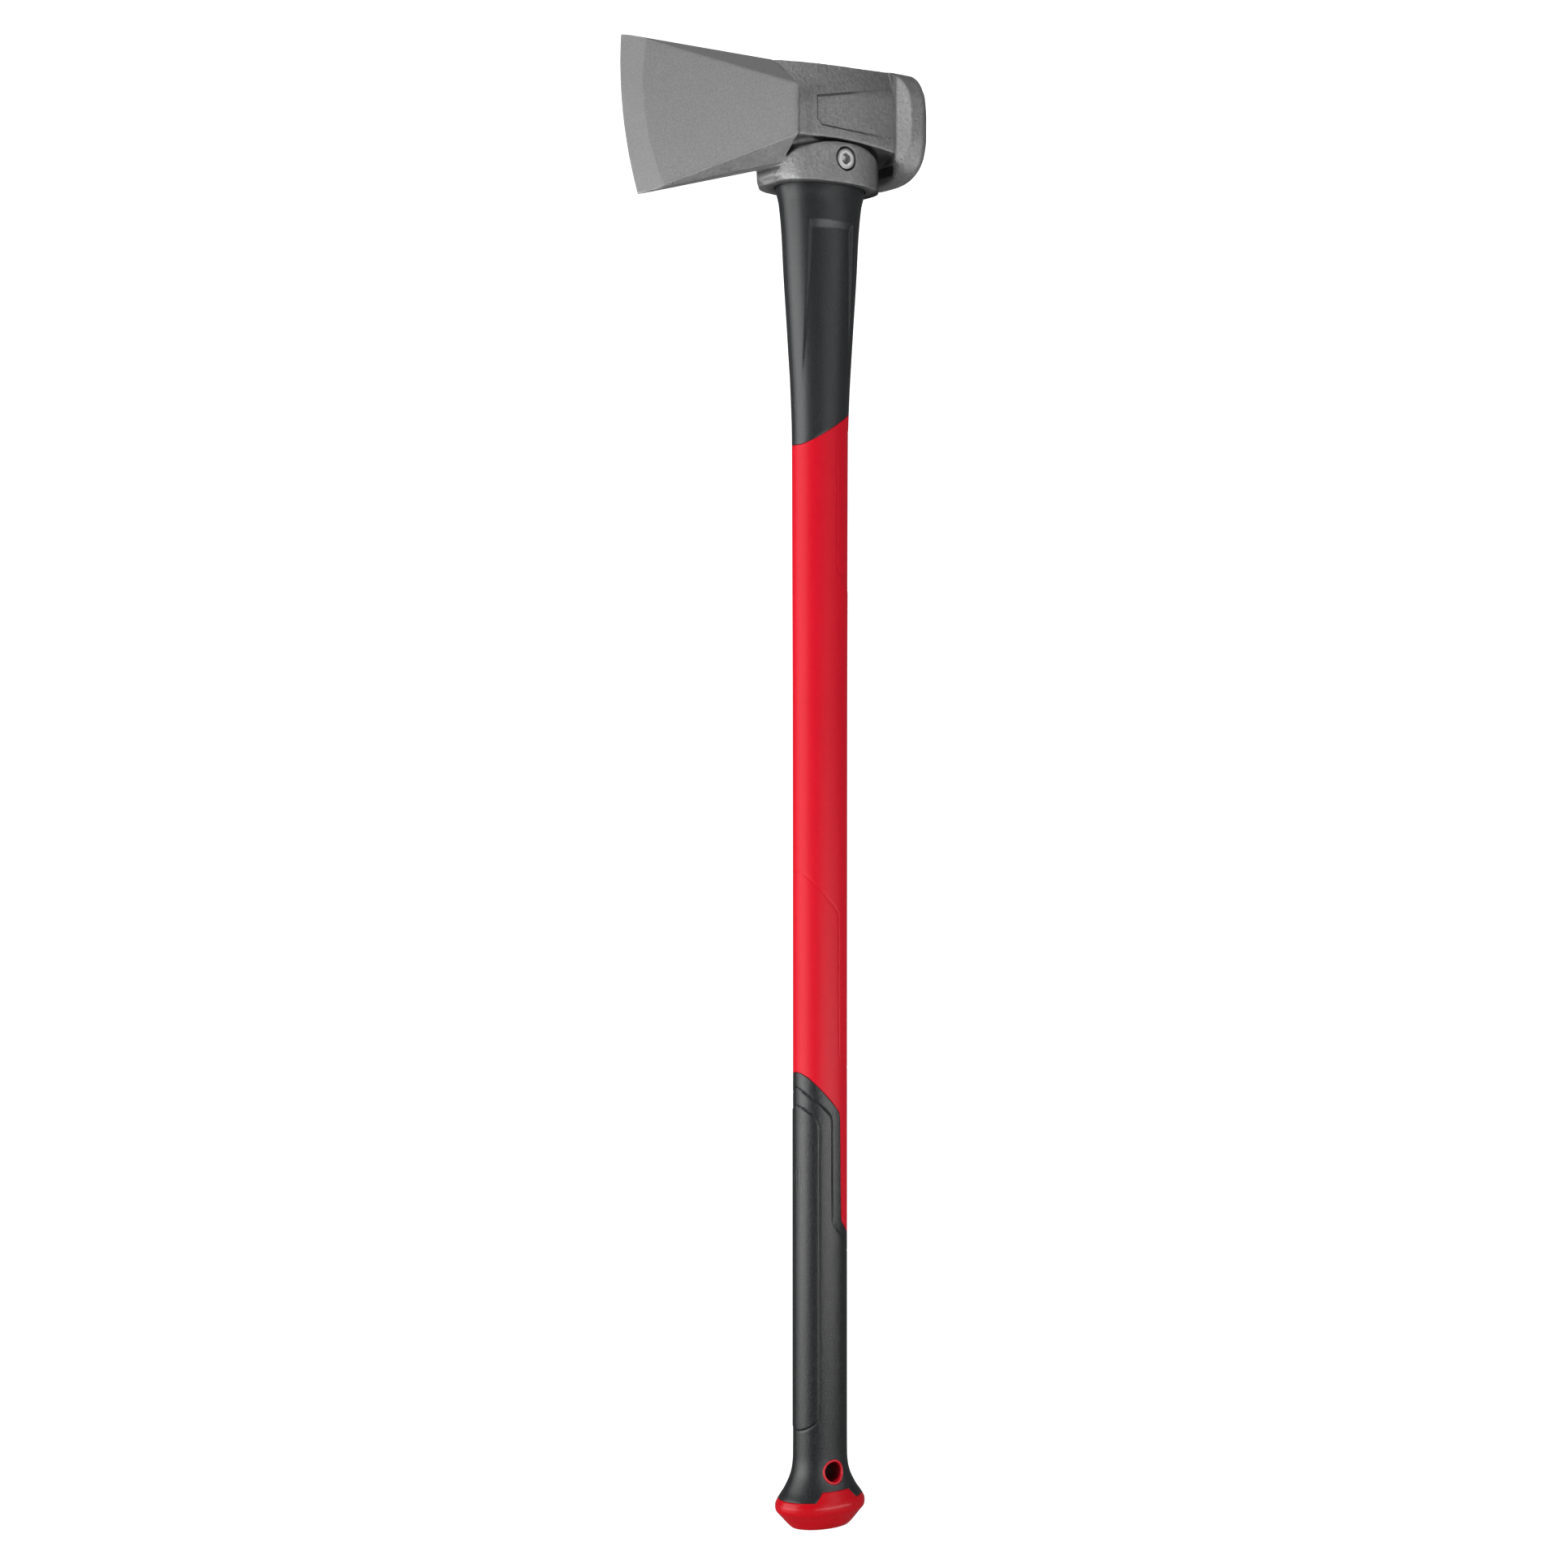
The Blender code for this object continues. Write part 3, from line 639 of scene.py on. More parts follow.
def outer_wall(angles, rows, relief):
    """Rings up the outer wall of a cover, with rounded edges at both ends."""
    lip = ((0, LIP), (0.3 * LIP, 0.3 * LIP), (LIP, 0))  # distance from the end, and inset
    rings = [skin_ring(angles, rows[0] + away, inset, relief) for away, inset in lip]
    rings += [skin_ring(angles, z, 0, relief) for z in rows[1:-1]]
    rings += [skin_ring(angles, rows[-1] - away, inset, relief) for away, inset in lip[::-1]]
    return rings


def ring_faces(count, columns, closed=False):
    """Faces between rings of equally many points; closed also joins the last to the first."""
    faces = []
    for row in range(count if closed else count - 1):
        low = row * columns
        high = (row + 1) % count * columns
        for column in range(columns):
            after = (column + 1) % columns
            faces.append((low + column, low + after, high + after, high + column))
    return faces


def loft(name, rings, material, closed=False, sharp=38):
    """A piece skinned over rings of equally many points."""
    columns = len(rings[0])
    points = np.concatenate([np.asarray(one).reshape(-1, 3) for one in rings])
    faces = ring_faces(len(rings), columns, closed)
    if not closed:
        faces.append(tuple(range(columns))[::-1])
        faces.append(tuple(range(len(points) - columns, len(points))))
    return new_piece(name, points, faces, material, sharp)


def drill(piece, radius):
    """Cut the lanyard hole through a piece."""
    sides = 64
    angles = np.linspace(0, 2 * np.pi, sides, endpoint=False) + 0.05  # clear of the covers' columns
    x, z = radius * np.cos(angles), LANYARD_Z + radius * np.sin(angles)
    ends = [np.stack((x, np.full(sides, y), z), axis=1) for y in (-40, 40)]
    faces = [(i, (i + 1) % sides, sides + (i + 1) % sides, sides + i) for i in range(sides)]
    faces += [tuple(range(sides))[::-1], tuple(range(sides, 2 * sides))]
    mesh = bpy.data.meshes.new("drill")
    mesh.from_pydata(np.concatenate(ends) * MM, [], faces)
    turn_outward(mesh)
    cutter = add_object("drill", mesh)
    modifier = piece.modifiers.new("drill", "BOOLEAN")
    modifier.operation = "DIFFERENCE"
    modifier.object = cutter
    graph = bpy.context.evaluated_depsgraph_get()
    drilled = bpy.data.meshes.new_from_object(piece.evaluated_get(graph))
    piece.modifiers.clear()
    piece.data = drilled
    bpy.data.objects.remove(cutter)
    drilled.set_sharp_from_angle(angle=np.radians(38))


def mould_seam(angles):
    """The fine ridge where the mould's halves met, down the front and the back."""
    along = np.minimum(girth(angles), GIRTH[1][-1] - girth(angles))
    return 0.05 * np.exp(-((along / 0.4) ** 2))


def gate_mark(angles, z, degrees, height):
    """A small round vestige where the mould was filled."""
    away = np.hypot(girth(angles) - from_front(degrees), z - height)
    return 0.25 * np.exp(-((away / 0.7) ** 4)) - 0.2 * np.exp(-(((away - 1.1) / 0.4) ** 2))


def guard_relief(angles, z):
    """A long recess on each flat side: steep walls, a ramp at its top, running out downwards."""
    across = np.abs(-skin_at(z)[0] * np.cos(angles) + 2.8)
    full = 1.75 * np.clip((z - 714) / 96, 0, 1.0)
    wall = np.clip((15.9 - across) / 1.0, 0, None)
    ramp = np.clip((816.2 - z) * 0.36, 0, None)
    depth = np.minimum(full, np.minimum(wall, ramp))
    return -depth + mould_seam(angles) + gate_mark(angles, z, 9.0, 701)


def jacket_relief(angles, z):
    arch = line_distance(angles, z, JACKET_ARCH)
    channel = -0.22 * ease(-arch, -0.75, -0.35)
    panel = line_distance(angles, z, JACKET_PANEL)
    step = -0.16 * ease(np.where(inside_line(angles, z, JACKET_PANEL), panel, -panel), -0.1, 0.5)
    return channel + groove(panel, 0.3, 0.42) + step + mould_seam(angles)


def grip_relief(angles, z):
    line = groove(line_distance(angles, z, GRIP_LINE), 0.55, 0.45)
    panel = line_distance(angles, z, PALM_PANEL)
    raised = 0.3 * ease(np.where(inside_line(angles, z, PALM_PANEL), panel, -panel), 0.1, 0.9)
    marks = gate_mark(angles, z, 10, 219)
    return line + groove(panel, 0.36, 0.5) + raised + mould_seam(angles) + marks


def make_guard(material):
    degrees = spaced((0, 1.2), (6, 2.0), (30, 1.1), (72, 2.0), (108, 1.1), (150, 2.0), (180, 0))
    angles = both_sides(degrees)
    levels = spaced((677.3, 2.5), (695, 1.0), (707, 4.0), (808, 0.7), (819, 2.5), (GUARD_TOP, 0))
    low = guard_edge(angles)
    rows = fit_rows(levels, angles, low, 712, np.full(len(angles), GUARD_TOP), 830)
    rings = outer_wall(angles, rows, guard_relief)
    inner = wider(JACKET_TONGUE)
    rings.append(ring(angles, GUARD_TOP, *inner))
    rings.append(ring(angles, 780, *inner))
    rings.append(ring(angles, low, *inner))
    loft("neck_guard_cover", rings, material, closed=True)


def make_jacket(material):
    degrees = spaced((0, 1.2), (6, 2.4), (92, 1.4), (97, 0.8), (111, 2.4), (180, 0))
    angles = both_sides(degrees)
    low = edge_height(GRIP_EDGE)(np.maximum(np.abs(angles) - np.radians(0.6), 0)) + SEAM_GAP
    high = guard_edge(angles) - SEAM_GAP
    levels = spaced(
        (178.1, 3.0), (278, 0.8), (300, 4.0), (380, 0.7), (413, 5.0), (580, 0.8), (602, 5.0),
        (668, 0.9), (695.2, 0),
    )
    rows = fit_rows(levels, angles, low, 300, high, 640)
    under = COVER + GAP
    pocket, bore = wider(SPIGOT_OVAL), wider(CORE_OVAL)
    rings = [ring(angles, SPIGOT_TOP + GAP, *pocket), ring(angles, JACKET_FOOT, *pocket)]
    rings += [skin_ring(angles, z, under) for z in spaced((JACKET_FOOT, 3.0), (50, 20), (170, 0))]
    rings.append(skin_ring(angles, low, under))
    rings += outer_wall(angles, rows, jacket_relief)
    rings += [ring(angles, high, *JACKET_TONGUE), ring(angles, GUARD_TOP, *JACKET_TONGUE)]
    rings += [ring(angles, GUARD_TOP, *bore), ring(angles, 50 - GAP, *bore)]
    jacket = loft("handle_jacket_cover", rings, material)
    drill(jacket, BUSH_OUTER + 0.1)


def make_grip(material):
    degrees = spaced((0, 1.0), (6, 1.2), (68, 2.4), (84, 1.0), (91, 2.4), (104, 1.0), (113, 2.4), (180, 0))
    angles = both_sides(degrees)
    low = cap_edge(angles) + SEAM_GAP
    high = edge_height(GRIP_EDGE)(angles)
    levels = spaced(
        (16.6, 1.5), (26, 2.0), (59, 0.5), (75, 4.0), (165, 0.8), (196, 4.0), (250, 0.6), (285, 0)
    )
    rows = fit_rows(levels, angles, low, 29, high, 160)
    rings = outer_wall(angles, rows, grip_relief)
    rings += [skin_ring(angles, z, COVER) for z in rows[::-6]]
    rings.append(skin_ring(angles, rows[0], COVER))
    grip = loft("grip_sleeve_cover", rings, material, closed=True)
    drill(grip, BUSH_OUTER + 0.1)


def make_cap(material):
    """Butt cap: a flat foot, a steep chamfer to a soft crease, and a rim with its two tabs."""
    angles = both_sides(spaced((0, 2.0), (54, 0.7), (69, 2.0), (111, 0.7), (126, 2.0), (180, 0)))
    edge = cap_edge(angles)
    rings = [ring(angles, 0, 17.2, 11.4)]
    levels = spaced((0, 0.12), (0.36, 0.6), (1.5, 1.6), (9.0, 0.3), (12.6, 0))
    rings += [skin_ring(angles, z) for z in levels]
    for part in np.linspace(0.1, 1.0, 12)[:-1]:
        rings.append(skin_ring(angles, levels[-1] + part * (edge - LIP - levels[-1])))
    rings.append(skin_ring(angles, edge - LIP))
    rings.append(skin_ring(angles, edge - 0.3 * LIP, 0.3 * LIP))
    rings.append(skin_ring(angles, edge, LIP))
    rings.append(skin_ring(angles, edge, COVER))
    floor = JACKET_FOOT - GAP
    for part in (0.66, 0.33, 0):
        rings.append(skin_ring(angles, floor + part * (edge - floor), COVER))
    rings += [ring(angles, floor, *SPIGOT_OVAL), ring(angles, SPIGOT_TOP - 0.6, *SPIGOT_OVAL)]
    rings.append(ring(angles, SPIGOT_TOP, SPIGOT_OVAL[0] - 0.6, SPIGOT_OVAL[1] - 0.6))
    loft("butt_cap_moulding", rings, material)


def make_bush(material):
    """Lining of the lanyard hole; its mouths follow the handle's skin and stand a little proud."""
    crest = 6.9  # radius of the mouth's rounded top
    x, z = crest * np.cos(TURN), LANYARD_Z + crest * np.sin(TURN)
    half_x, half_y = skin_at(z)
    mouth = half_y * np.sqrt(1 - (x / half_x) ** 2) + 0.3
    lips = ((BUSH_OUTER, 0.9), (BUSH_OUTER, 0.45), (BUSH_OUTER - 0.13, 0.16), (BUSH_OUTER - 0.4, 0))
    lips += ((crest, -0.05), (BUSH_INNER + 0.35, 0.05), (BUSH_INNER + 0.1, 0.3), (BUSH_INNER, 0.7))
    rings = []
    for side, order in ((-1, lips), (1, lips[::-1])):
        for radius, back in order:
            rings.append(lying_ring(radius, side * (mouth - back), LANYARD_Z))
    loft("lanyard_bush_lining", rings, material, closed=True)


# ---- bolt, nut, resin and core


def lathe(name, rows, material, closed=False, sharp=30):
    """A piece turned round the bolt's axis; rows are (y, radius), and a radius may go by angle."""
    rings = [lying_ring(radius, y, BOLT_Z) for y, radius in rows]
    loft(name, rings, material, closed, sharp)


def hexagon(across):
    """Radius of a hexagon by angle."""
    return across / 2 / np.cos((TURN + np.pi / 6) % (np.pi / 3) - np.pi / 6)


def thread(y, depth=0.36):
    return 4.0 - depth * (0.5 + 0.5 * np.cos(2 * np.pi * y / 1.25 - TURN))


def make_bolt(material):
    """Socket cap screw: chamfered head, hexagon socket with a drilled floor, rolled thread."""
    face = BOLT_FACE
    rows = [(face + 5.3, 0.3), (face + 4.3, 2.6), (face + 4.2, hexagon(6.0)), (face + 0.5, hexagon(6.0))]
    rows += [(face + 0.12, 3.5), (face, 3.65), (face, 6.0), (face + 0.1, 6.25), (face + 0.5, 6.46)]
    rows += [(face + 1.1, 6.5), (BOLT_SEAT - 0.9, 6.5), (BOLT_SEAT - 0.4, 6.3), (BOLT_SEAT - GAP, 5.9)]
    rows += [(BOLT_SEAT - GAP, 4.3), (BOLT_SEAT + 0.2, 4.0), (4.0, 4.0)]
    rows += [(y, thread(y)) for y in np.arange(5.0, 27.2, 0.25)]
    rows += [(27.4, 3.55), (27.95, 3.0), (28, 2.8)]
    lathe("head_bolt_screw", rows, material)


def make_nut_set(bright, nylon):
    base = NUT_SEAT + 0.15
    rows = [(base, 4.6), (base, 7.5), (base + 0.25, 7.8)]
    rows += [(base + 1.35, 7.8), (base + 1.6, 7.5), (base + 1.6, 4.6)]
    lathe("bolt_washer_plate", rows, bright, closed=True)
    low = base + 1.75
    rows = [(low, 4.35), (low, 6.0)]
    rows += [(low + y, np.minimum(hexagon(13), 6.05 + 1.75 * y)) for y in (0.05, 0.25, 0.5, 0.85)]
    rows += [(low + 5.5 - y, np.minimum(hexagon(13), 6.3 + 1.75 * y)) for y in (0.75, 0.5, 0.25, 0)]
    rows += [(low + 5.6, 6.1), (low + 7.0, 6.1), (low + 7.6, 5.95), (low + 7.9, 5.5), (low + 7.9, 5.2)]
    rows += [(low + 7.6, 5.15), (low + 7.55, 5.7), (low + 5.75, 5.7), (low + 5.7, 4.35)]
    lathe("lock_nut_body", rows, bright, closed=True)
    ring_low = low + 5.8
    rows = [(ring_low, 4.35), (ring_low, 5.4), (ring_low + 1.6, 5.4)]
    rows += [(ring_low + 1.8, 5.0), (ring_low + 1.8, 4.6), (ring_low + 1.6, 4.35)]
    lathe("nut_insert_ring", rows, nylon, closed=True)
    rows = ((-8.9, 4.3), (-8.9, 5.8), (-8.7, 6.0), (8.7, 6.0), (8.9, 5.8), (8.9, 4.3))
    lathe("crush_sleeve_tube", rows, bright, closed=True)


def eye_at(z, inset):
    part = (z - SOCKET_TOP) / (TOP - SOCKET_TOP)
    return [low + part * (high - low) - inset for low, high in zip(EYE_BOTTOM, EYE_TOP)]


def make_resin(material):
    """Cast resin round the core: it creeps up both walls and dips between them."""
    turn = TURN - np.pi
    inner = wider(CORE_OVAL)
    rings = [ring(turn, SOCKET_TOP + GAP, *eye_at(SOCKET_TOP + GAP, GAP))]
    rings += [ring(turn, z, *eye_at(z, GAP)) for z in (870, 900, RESIN_TOP - 0.1)]
    outer = eye_at(RESIN_TOP, GAP)
    for part in np.linspace(0.04, 0.98, 9):
        half_x = outer[0] + part * (inner[0] - outer[0])
        half_y = outer[1] + part * (inner[1] - outer[1])
        sag = 0.9 * (1 - (2 * part - 1) ** 4)
        ripple = np.array([noise.noise(Vector((3 * np.cos(t), 3 * np.sin(t), 9 * part))) for t in turn])
        rings.append(ring(turn, RESIN_TOP - sag + 0.18 * ripple, half_x, half_y))
    rings += [ring(turn, RESIN_TOP - 1.0, *inner), ring(turn, SOCKET_TOP + GAP, *inner)]
    loft("eye_resin_casting", rings, material, closed=True, sharp=60)


def make_core(material):
    """Pultruded rod with a sawn, slightly chamfered top end."""
    turn = TURN - np.pi
    rings = [ring(turn, z, *CORE_OVAL) for z in (50, 400, CORE_TOP - 0.6)]
    for part in (0.97, 0.75, 0.5, 0.25, 0.05):
        wide = 9 * part
        rough = np.array([noise.noise(Vector((wide * np.cos(t), wide * np.sin(t), 2.0))) for t in turn])
        half_x, half_y = CORE_OVAL[0] * part, CORE_OVAL[1] * part
        rings.append(ring(turn, CORE_TOP - 0.06 * (1 + rough), half_x, half_y))
    loft("fibreglass_core_rod", rings, material, sharp=60)


# ---- materials


class Look:
    """A Principled material whose patterns are laid out in millimetres of the part's frame."""

    def __init__(self, name, **levels):
        self.material = bpy.data.materials.new(name)
        self.material.use_nodes = True
        self.tree = self.material.node_tree
        self.shader = self.tree.nodes["Principled BSDF"]
        for key, value in levels.items():
            self.shader.inputs[key.replace("_", " ")].default_value = value
        place = self.node("TexCoord", {}).outputs["Object"]
        scaled = {0: place, "Scale": 1000}
        self.place = self.node("VectorMath", scaled, operation="SCALE").outputs[0]

    def node(self, kind, inputs, **properties):
        """A node with its properties set and each input given a value or another node's output."""
        node = self.tree.nodes.new("ShaderNode" + kind)
        for key, value in properties.items():
            setattr(node, key, value)
        for key, value in inputs.items():
            if isinstance(value, bpy.types.NodeSocket):
                self.tree.links.new(value, node.inputs[key])
            else:
                node.inputs[key].default_value = value
        return node

    def stretched(self, x, y, z):
        inputs = {0: self.place, 1: (x, y, z)}
        return self.node("VectorMath", inputs, operation="MULTIPLY").outputs[0]

    def noise(self, size, detail=3.0, place=None, roughness=0.5):
        """Smooth noise whose lumps are about size millimetres wide."""
        inputs = {"Vector": place or self.place, "Scale": 1.0 / size, "Detail": detail}
        inputs["Roughness"] = roughness
        return self.node("TexNoise", inputs).outputs[0]

    def spots(self, size, place=None):
        """Distance from scattered points about size millimetres apart, in units of size."""
        inputs = {"Vector": place or self.place, "Scale": 1.0 / size}
        return self.node("TexVoronoi", inputs).outputs["Distance"]

    def slope(self, x=0, y=0, z=0, offset=0):
        """A number that changes evenly along x, y and z."""
        inputs = {0: self.place, 1: (x, y, z)}
        along = self.node("VectorMath", inputs, operation="DOT_PRODUCT")
        return self.math("ADD", along.outputs["Value"], offset)

    def away(self, *slope):
        """Distance from the plane where an even slope is nought."""
        return self.math("ABSOLUTE", self.slope(*slope))

    def attribute(self, name):
        return self.node("Attribute", {}, attribute_name=name).outputs["Fac"]

    def remap(self, value, low, high, to_low=0, to_high=1.0):
        inputs = {"Value": value, "From Min": low, "From Max": high, "To Min": to_low, "To Max": to_high}
        return self.node("MapRange", inputs).outputs[0]

    def math(self, operation, first, second=0):
        return self.node("Math", {0: first, 1: second}, operation=operation).outputs[0]

    def times(self, first, second):
        return self.math("MULTIPLY", first, second)

    def mix(self, factor, first, second):
        inputs = {0: factor, 6: first, 7: second}
        return self.node("Mix", inputs, data_type="RGBA").outputs[2]

    def bump(self, height, depth, under=None):
        """Bump of a height pattern, depth in millimetres, over another bump."""
        inputs = {"Height": height, "Strength": 1.0, "Distance": depth * MM}
        if under is not None:
            inputs["Normal"] = under
        return self.node("Bump", inputs).outputs[0]

    def finish(self, colour=None, roughness=None, normal=None):
        for key, value in (("Base Color", colour), ("Roughness", roughness), ("Normal", normal)):
            if value is not None:
                self.tree.links.new(value, self.shader.inputs[key])
        return self.material


def grey(value, tint=0):
    return (value * (1 - tint), value, value * (1 + tint), 1.0)


def plate_outline(look):
    """Distance in x and z to the plate pocket's edge."""
    outline = None
    for x, z, offset in plate_sides():
        side = look.slope(x, 0, z, offset)
        outline = side if outline is None else look.math("MAXIMUM", outline, side)
    return outline


def forged_look():
    """Blasted forging: dull grey scale with pits and nicks, even cheeks, a finer ground bevel, with painted
    shade in its hollows and painted highlights on its edges.
    """
    look = Look("forged_steel_blasted", Specular_IOR_Level=0.4)
    flat, ground = look.attribute("flat"), look.attribute("ground")
    look.tree.links.new(look.remap(flat, 0, 1.0, 0.85, 0.6), look.shader.inputs["Metallic"])
    on_side = look.remap(look.away(0, 1.0), 22.5, 24)
    on_plate = look.times(on_side, look.remap(look.slope(x=1.0), 4.0, 34, 1.0, 0.1))
    rugged = look.math("SUBTRACT", 1.0, look.times(flat, 0.8))
    grain = look.noise(0.8, 4.0, roughness=0.8)
    scale = look.noise(2.4, 5.0, roughness=0.7)
    blotch = look.noise(16, 4.0)
    even = look.mix(look.remap(grain, 0.36, 0.64), grey(0.36), grey(0.54))
    dull = look.mix(look.remap(scale, 0.3, 0.7), grey(0.32), grey(0.52))
    dull = look.mix(look.remap(blotch, 0.42, 0.62, 0, 0.5), dull, grey(0.36))
    # painted shade: the eye block's side darkens towards the poll, up to the crease
    painted_shade_to_poll = look.remap(look.slope(x=1.0), 4.0, 36)
    painted_shade_to_poll = look.times(painted_shade_to_poll, look.remap(look.slope(x=1.0), 37.5, 39, 1.0, 0))
    dull = look.mix(look.times(painted_shade_to_poll, 0.5), dull, grey(0.16))
    colour = look.mix(flat, dull, even)
    streaks = look.noise(0.45, 3.0, look.stretched(0.3, 0.3, 1.0))
    bevel = look.mix(look.remap(streaks, 0.3, 0.7), grey(0.45), grey(0.58))
    bevel = look.mix(look.remap(grain, 0.36, 0.64, 0, 0.5), bevel, grey(0.60))
    colour = look.mix(ground, colour, bevel)
    pits = look.remap(look.spots(3.1), 0.10, 0.20, 1.0, 0)
    pits = look.times(pits, look.remap(look.noise(5.0, 2.0), 0.52, 0.60))
    pits = look.times(pits, rugged)
    colour = look.mix(look.times(pits, 0.55), colour, grey(0.12))
    nicks = look.remap(look.spots(3.7, look.stretched(0.8, 1.0, 1.6)), 0.05, 0.12, 1.0, 0)
    nicks = look.times(nicks, look.remap(look.noise(8.0, 2.0), 0.54, 0.58))
    nicks = look.times(nicks, rugged)
    colour = look.mix(look.times(nicks, 0.8), colour, grey(0.9))
    # sharp edges lighter: a painted edge highlight, and worn steel
    edge = look.node("NewGeometry", {}).outputs["Pointiness"]
    edge_highlight_and_wear = look.times(look.remap(edge, 0.53, 0.6), look.remap(scale, 0.4, 0.6, 0.2, 0.8))
    colour = look.mix(edge_highlight_and_wear, colour, grey(0.68))
    # painted shade: the head's hollows darkened almost to black
    colour = look.mix(look.remap(look.attribute("painted_shade"), 0.12, 0.62, 0, 0.92), colour, grey(0.025))
    # painted shade: dark lines along the plate pocket's walls and beside the poll's crease
    line = look.remap(look.math("ABSOLUTE", plate_outline(look)), 0.35, 1.0, 0.9, 0)
    line = look.times(line, on_plate)
    crease = look.away(1.0, 0, 0, -POLL_CREASE - 0.6)
    crease = look.times(look.remap(crease, 0.3, 1.3, 0.7, 0), on_side)
    line = look.math("MAXIMUM", line, crease)
    colour = look.mix(line, colour, grey(0.08))
    roughness = look.remap(scale, 0.3, 0.7, 0.38, 0.54)
    bump = look.bump(grain, 0.12)
    bump = look.bump(look.times(scale, rugged), 0.6, bump)
    bump = look.bump(look.times(pits, -1.0), 0.25, bump)
    return look.finish(colour, roughness, bump)


def moulded_look(name, colours, grain_size, grain_depth, rough, specular=0.5, throat=False):
    """Spark-eroded moulding: fine even grain, faint flow marks, slightly uneven gloss."""
    look = Look(name, Specular_IOR_Level=specular)
    grain = look.noise(grain_size, 2.0, roughness=0.7)
    flow = look.noise(30, 3.0, look.stretched(1.0, 1.0, 0.25))
    scuff = look.remap(look.noise(4.0, 6.0, look.stretched(1.0, 1.0, 0.2)), 0.62, 0.75)
    colour = look.mix(look.remap(flow, 0.35, 0.65), colours[0], colours[1])
    colour = look.mix(look.remap(grain, 0.52, 0.68, 0, 0.6), colour, colours[2])
    if throat:  # painted shade deep in the lanyard hole
        deep = look.remap(look.away(0, 1.0), 12.2, 14.2, 0.85, 0)
        colour = look.mix(deep, colour, (0.05, 0.001, 0.002, 1.0))
    roughness = look.remap(grain, 0.3, 0.7, rough[0], rough[1])
    roughness = look.math("ADD", roughness, look.times(scuff, 0.06))
    bump = look.bump(grain, grain_depth)
    return look.finish(colour, roughness, bump)


def bright_look():
    """Zinc-plated steel with fine turned rings about the bolt's axis."""
    look = Look("bright_steel_plated", Metallic=1.0)
    parts = look.node("SeparateXYZ", {0: look.place}).outputs
    height = look.math("SUBTRACT", parts[2], BOLT_Z)
    squared = look.math("ADD", look.times(parts[0], parts[0]), look.times(height, height))
    radius = look.math("SQRT", squared)
    rings = look.math("SINE", look.times(radius, 21))
    stain = look.noise(3.0, 4.0)
    colour = look.mix(look.remap(stain, 0.35, 0.65), grey(0.58), grey(0.70))
    roughness = look.remap(look.noise(3.0, 3.0), 0.3, 0.7, 0.30, 0.38)
    bump = look.bump(rings, 0.002)
    return look.finish(colour, roughness, bump)


def glass_look():
    """Pultruded rod: long fibres on its sides, fibre ends and saw marks on its top."""
    look = Look("fibreglass_pultruded", Specular_IOR_Level=0.4)
    fibres = look.noise(0.6, 3.0, look.stretched(1.0, 1.0, 0.02))
    ends = look.spots(0.7, look.stretched(1.0, 1.0, 0.05))
    colour = look.mix(fibres, (0.62, 0.54, 0.30, 1.0), (0.83, 0.78, 0.58, 1.0))
    colour = look.mix(look.remap(ends, 0.1, 0.5, 0.45, 0), colour, (0.35, 0.28, 0.12, 1.0))
    bump = look.bump(fibres, 0.06)
    return look.finish(colour, look.remap(fibres, 0.3, 0.7, 0.4, 0.6), bump)


def resin_look():
    """Cast epoxy: amber, glossy, cloudy inside with a few trapped bubbles."""
    look = Look("cast_resin_amber", Coat_Weight=0.4, Coat_Roughness=0.08, Subsurface_Weight=0.15)
    look.shader.inputs["Subsurface Radius"].default_value = (0.004, 0.002, 0.001)
    cloud = look.noise(5.0, 4.0)
    bubbles = look.remap(look.spots(2.6), 0.1, 0.2, 1.0, 0)
    colour = look.mix(look.remap(cloud, 0.35, 0.65), (0.24, 0.13, 0.035, 1.0), (0.42, 0.27, 0.09, 1.0))
    colour = look.mix(look.times(bubbles, 0.5), colour, (0.65, 0.5, 0.25, 1.0))
    bump = look.bump(look.times(bubbles, -1.0), 0.15)
    return look.finish(colour, look.remap(cloud, 0.3, 0.7, 0.14, 0.3), bump)


RED = ((0.65, 0.003, 0.016, 1.0), (0.69, 0.004, 0.019, 1.0), (0.73, 0.010, 0.028, 1.0))
GLOSS = ((0.57, 0.001, 0.008, 1.0), (0.60, 0.001, 0.009, 1.0), (0.61, 0.001, 0.010, 1.0))
GUARD = (grey(0.012, 0.12), grey(0.015, 0.12), grey(0.045, 0.08))
GRIP = (grey(0.010, 0.1), grey(0.012, 0.1), grey(0.05, 0.06))
NYLON = ((0.04, 0.11, 0.38, 1.0), (0.05, 0.14, 0.44, 1.0), (0.08, 0.18, 0.5, 1.0))


def build_object():
    guard = moulded_look("guard_charcoal_moulded", GUARD, 0.7, 0.08, (0.34, 0.42), 0.7)
    red = moulded_look("red_jacket_moulded", RED, 0.8, 0.05, (0.36, 0.46), 0.2)
    lining = moulded_look("red_lining_moulded", RED, 0.8, 0.035, (0.34, 0.44), throat=True)
    grip = moulded_look("grip_charcoal_soft", GRIP, 0.7, 0.15, (0.28, 0.36), 0.55)
    gloss = moulded_look("gloss_red_moulded", GLOSS, 1.0, 0.008, (0.27, 0.29), 0.32)
    nylon = moulded_look("nylon_blue_moulded", NYLON, 0.5, 0.02, (0.35, 0.5), 0.4)
    bright = bright_look()
    make_head(forged_look())
    make_guard(guard)
    make_jacket(red)
    make_grip(grip)
    make_cap(gloss)
    make_bush(lining)
    make_bolt(bright)
    make_nut_set(bright, nylon)
    make_resin(resin_look())
    make_core(glass_look())


# ---- stage, light and camera


FLOOR_INNER = 0.4  # the stage's radii, in metres
FLOOR_EDGE = 2.6
BEND = 1.2
PAPER = 0.9


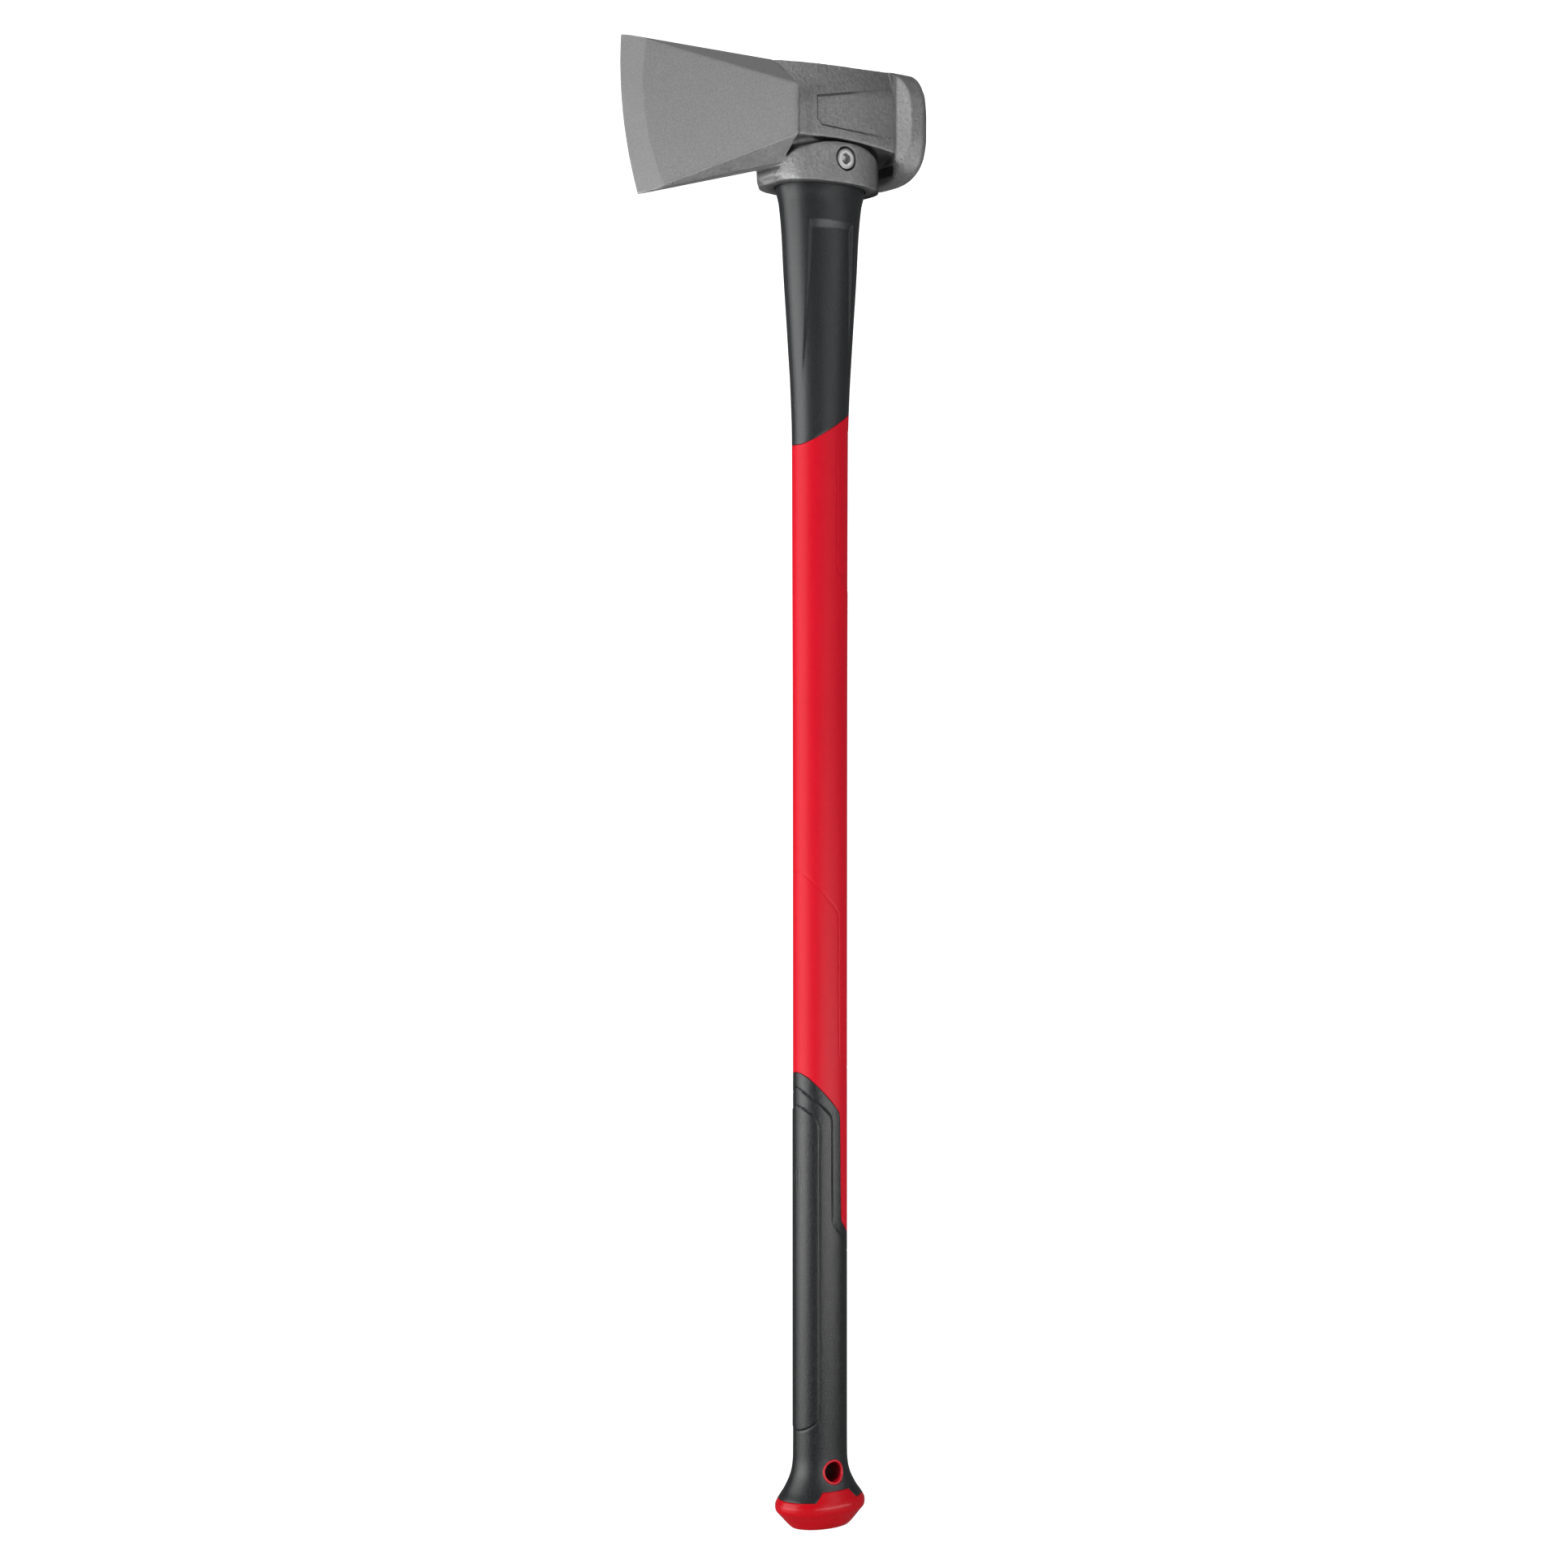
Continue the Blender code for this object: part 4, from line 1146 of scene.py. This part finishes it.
def stage_look(name, glow):
    """White stage paper: its faint glow keeps it pale where the light falls off."""
    look = Look(name, Roughness=0.9, Specular_IOR_Level=0.2)
    paper = look.noise(40, 3.0)
    look.shader.inputs["Emission Color"].default_value = (1.0, 1.0, 1.0, 1.0)
    look.shader.inputs["Emission Strength"].default_value = glow
    colour = look.mix(look.remap(paper, 0.4, 0.6), grey(PAPER), grey(PAPER * 0.99))
    return look.finish(colour)


def stage_piece(name, profile, material):
    """A round stage turned about the handle's axis; profile holds (radius, z) in metres."""
    points = [(radius * np.cos(t), radius * np.sin(t), z) for radius, z in profile for t in TURN]
    faces = ring_faces(len(profile), len(TURN))
    if profile[0][0] == FLOOR_INNER:  # the floor and the bounce sheet are closed in the middle
        faces.append(tuple(reversed(range(len(TURN)))))
    mesh = bpy.data.meshes.new(name)
    mesh.from_pydata(points, [], faces)
    mesh.shade_smooth()
    mesh.materials.append(material)
    piece = add_object(name, mesh)
    return piece


def make_stage():
    """White floor and sweep as the camera sees them, and a plain sheet that bounces the light."""
    flat = ((FLOOR_INNER, 0), (FLOOR_EDGE, 0))
    floor = stage_piece("stage_floor", flat, stage_look("floor_paper", 1.0))
    bend = [(FLOOR_EDGE + BEND * np.sin(t), BEND - BEND * np.cos(t)) for t in np.linspace(0, np.pi / 2, 17)]
    sweep = (*bend, (FLOOR_EDGE + BEND, 5.0))
    sweep = stage_piece("stage_backdrop", sweep, stage_look("backdrop_paper", 1.1))
    for sheet in (floor, sweep):
        sheet.visible_diffuse = False
        sheet.visible_glossy = False
    raised = ((FLOOR_INNER, 0.0005), (FLOOR_EDGE, 0.0005))
    bounce = stage_piece("stage_bounce", raised, stage_look("bounce_paper", 0))
    bounce.visible_camera = False
    bounce.visible_glossy = False
    bounce.visible_shadow = False


LIGHTS = (  # name, heading, distance and height in metres, size, watts
    ("key_softbox", -8.0, 1.7, 0.6, (2.1, 2.0), 38.5),
    ("side_softbox", 104, 1.7, 0.4, (0.8, 1.6), 3.0),
    ("top_softbox", 40, 0.45, 1.8, (0.9, 0.9), 3.4),
    ("low_strip_left", 10, 1.1, 0.12, (1.2, 0.15), 3.4),
    ("low_strip_right", 110, 1.1, 0.12, (1.4, 0.2), 5.4),
    ("bolt_card", 125.6, 1.7, 1.24, (0.5, 0.5), 1.6),
)


def make_light(name, heading, distance, height, size, power):
    """A softbox facing the handle; heading is in degrees from -X towards -Y."""
    data = bpy.data.lights.new(name, "AREA")
    data.shape = "RECTANGLE"
    data.size, data.size_y = size
    data.energy = power
    lamp = add_object(name, data)
    angle = np.radians(heading)
    lamp.location = (-distance * np.cos(angle), -distance * np.sin(angle), height)
    aim = Vector((0, 0, 0.55)) - lamp.location
    lamp.rotation_euler = aim.to_track_quat("-Z", "Y").to_euler()
    lamp.visible_camera = False


def make_world():
    world = bpy.data.worlds.new("studio")
    world.use_nodes = True
    background = world.node_tree.nodes["Background"]
    background.inputs["Color"].default_value = (1.0, 1.0, 1.0, 1.0)
    background.inputs["Strength"].default_value = 0.12
    bpy.context.scene.world = world


def make_camera():
    """Level with the middle of the tool and turned from square to its side."""
    turn = np.radians(35.5)
    distance = 1.75
    data = bpy.data.cameras.new("camera")
    data.sensor_width = 36
    data.lens = 63.9
    data.shift_x = -0.023
    data.clip_start = 0.05
    camera = add_object("camera", data)
    camera.location = (-distance * np.sin(turn), -distance * np.cos(turn), 0.4651)
    camera.rotation_euler = (np.radians(90), 0, -turn)
    bpy.context.scene.camera = camera


build_object()
make_stage()
make_world()
for light in LIGHTS:
    make_light(*light)
make_camera()
bpy.context.scene.view_settings.view_transform = "Standard"
bpy.context.view_layer.update()
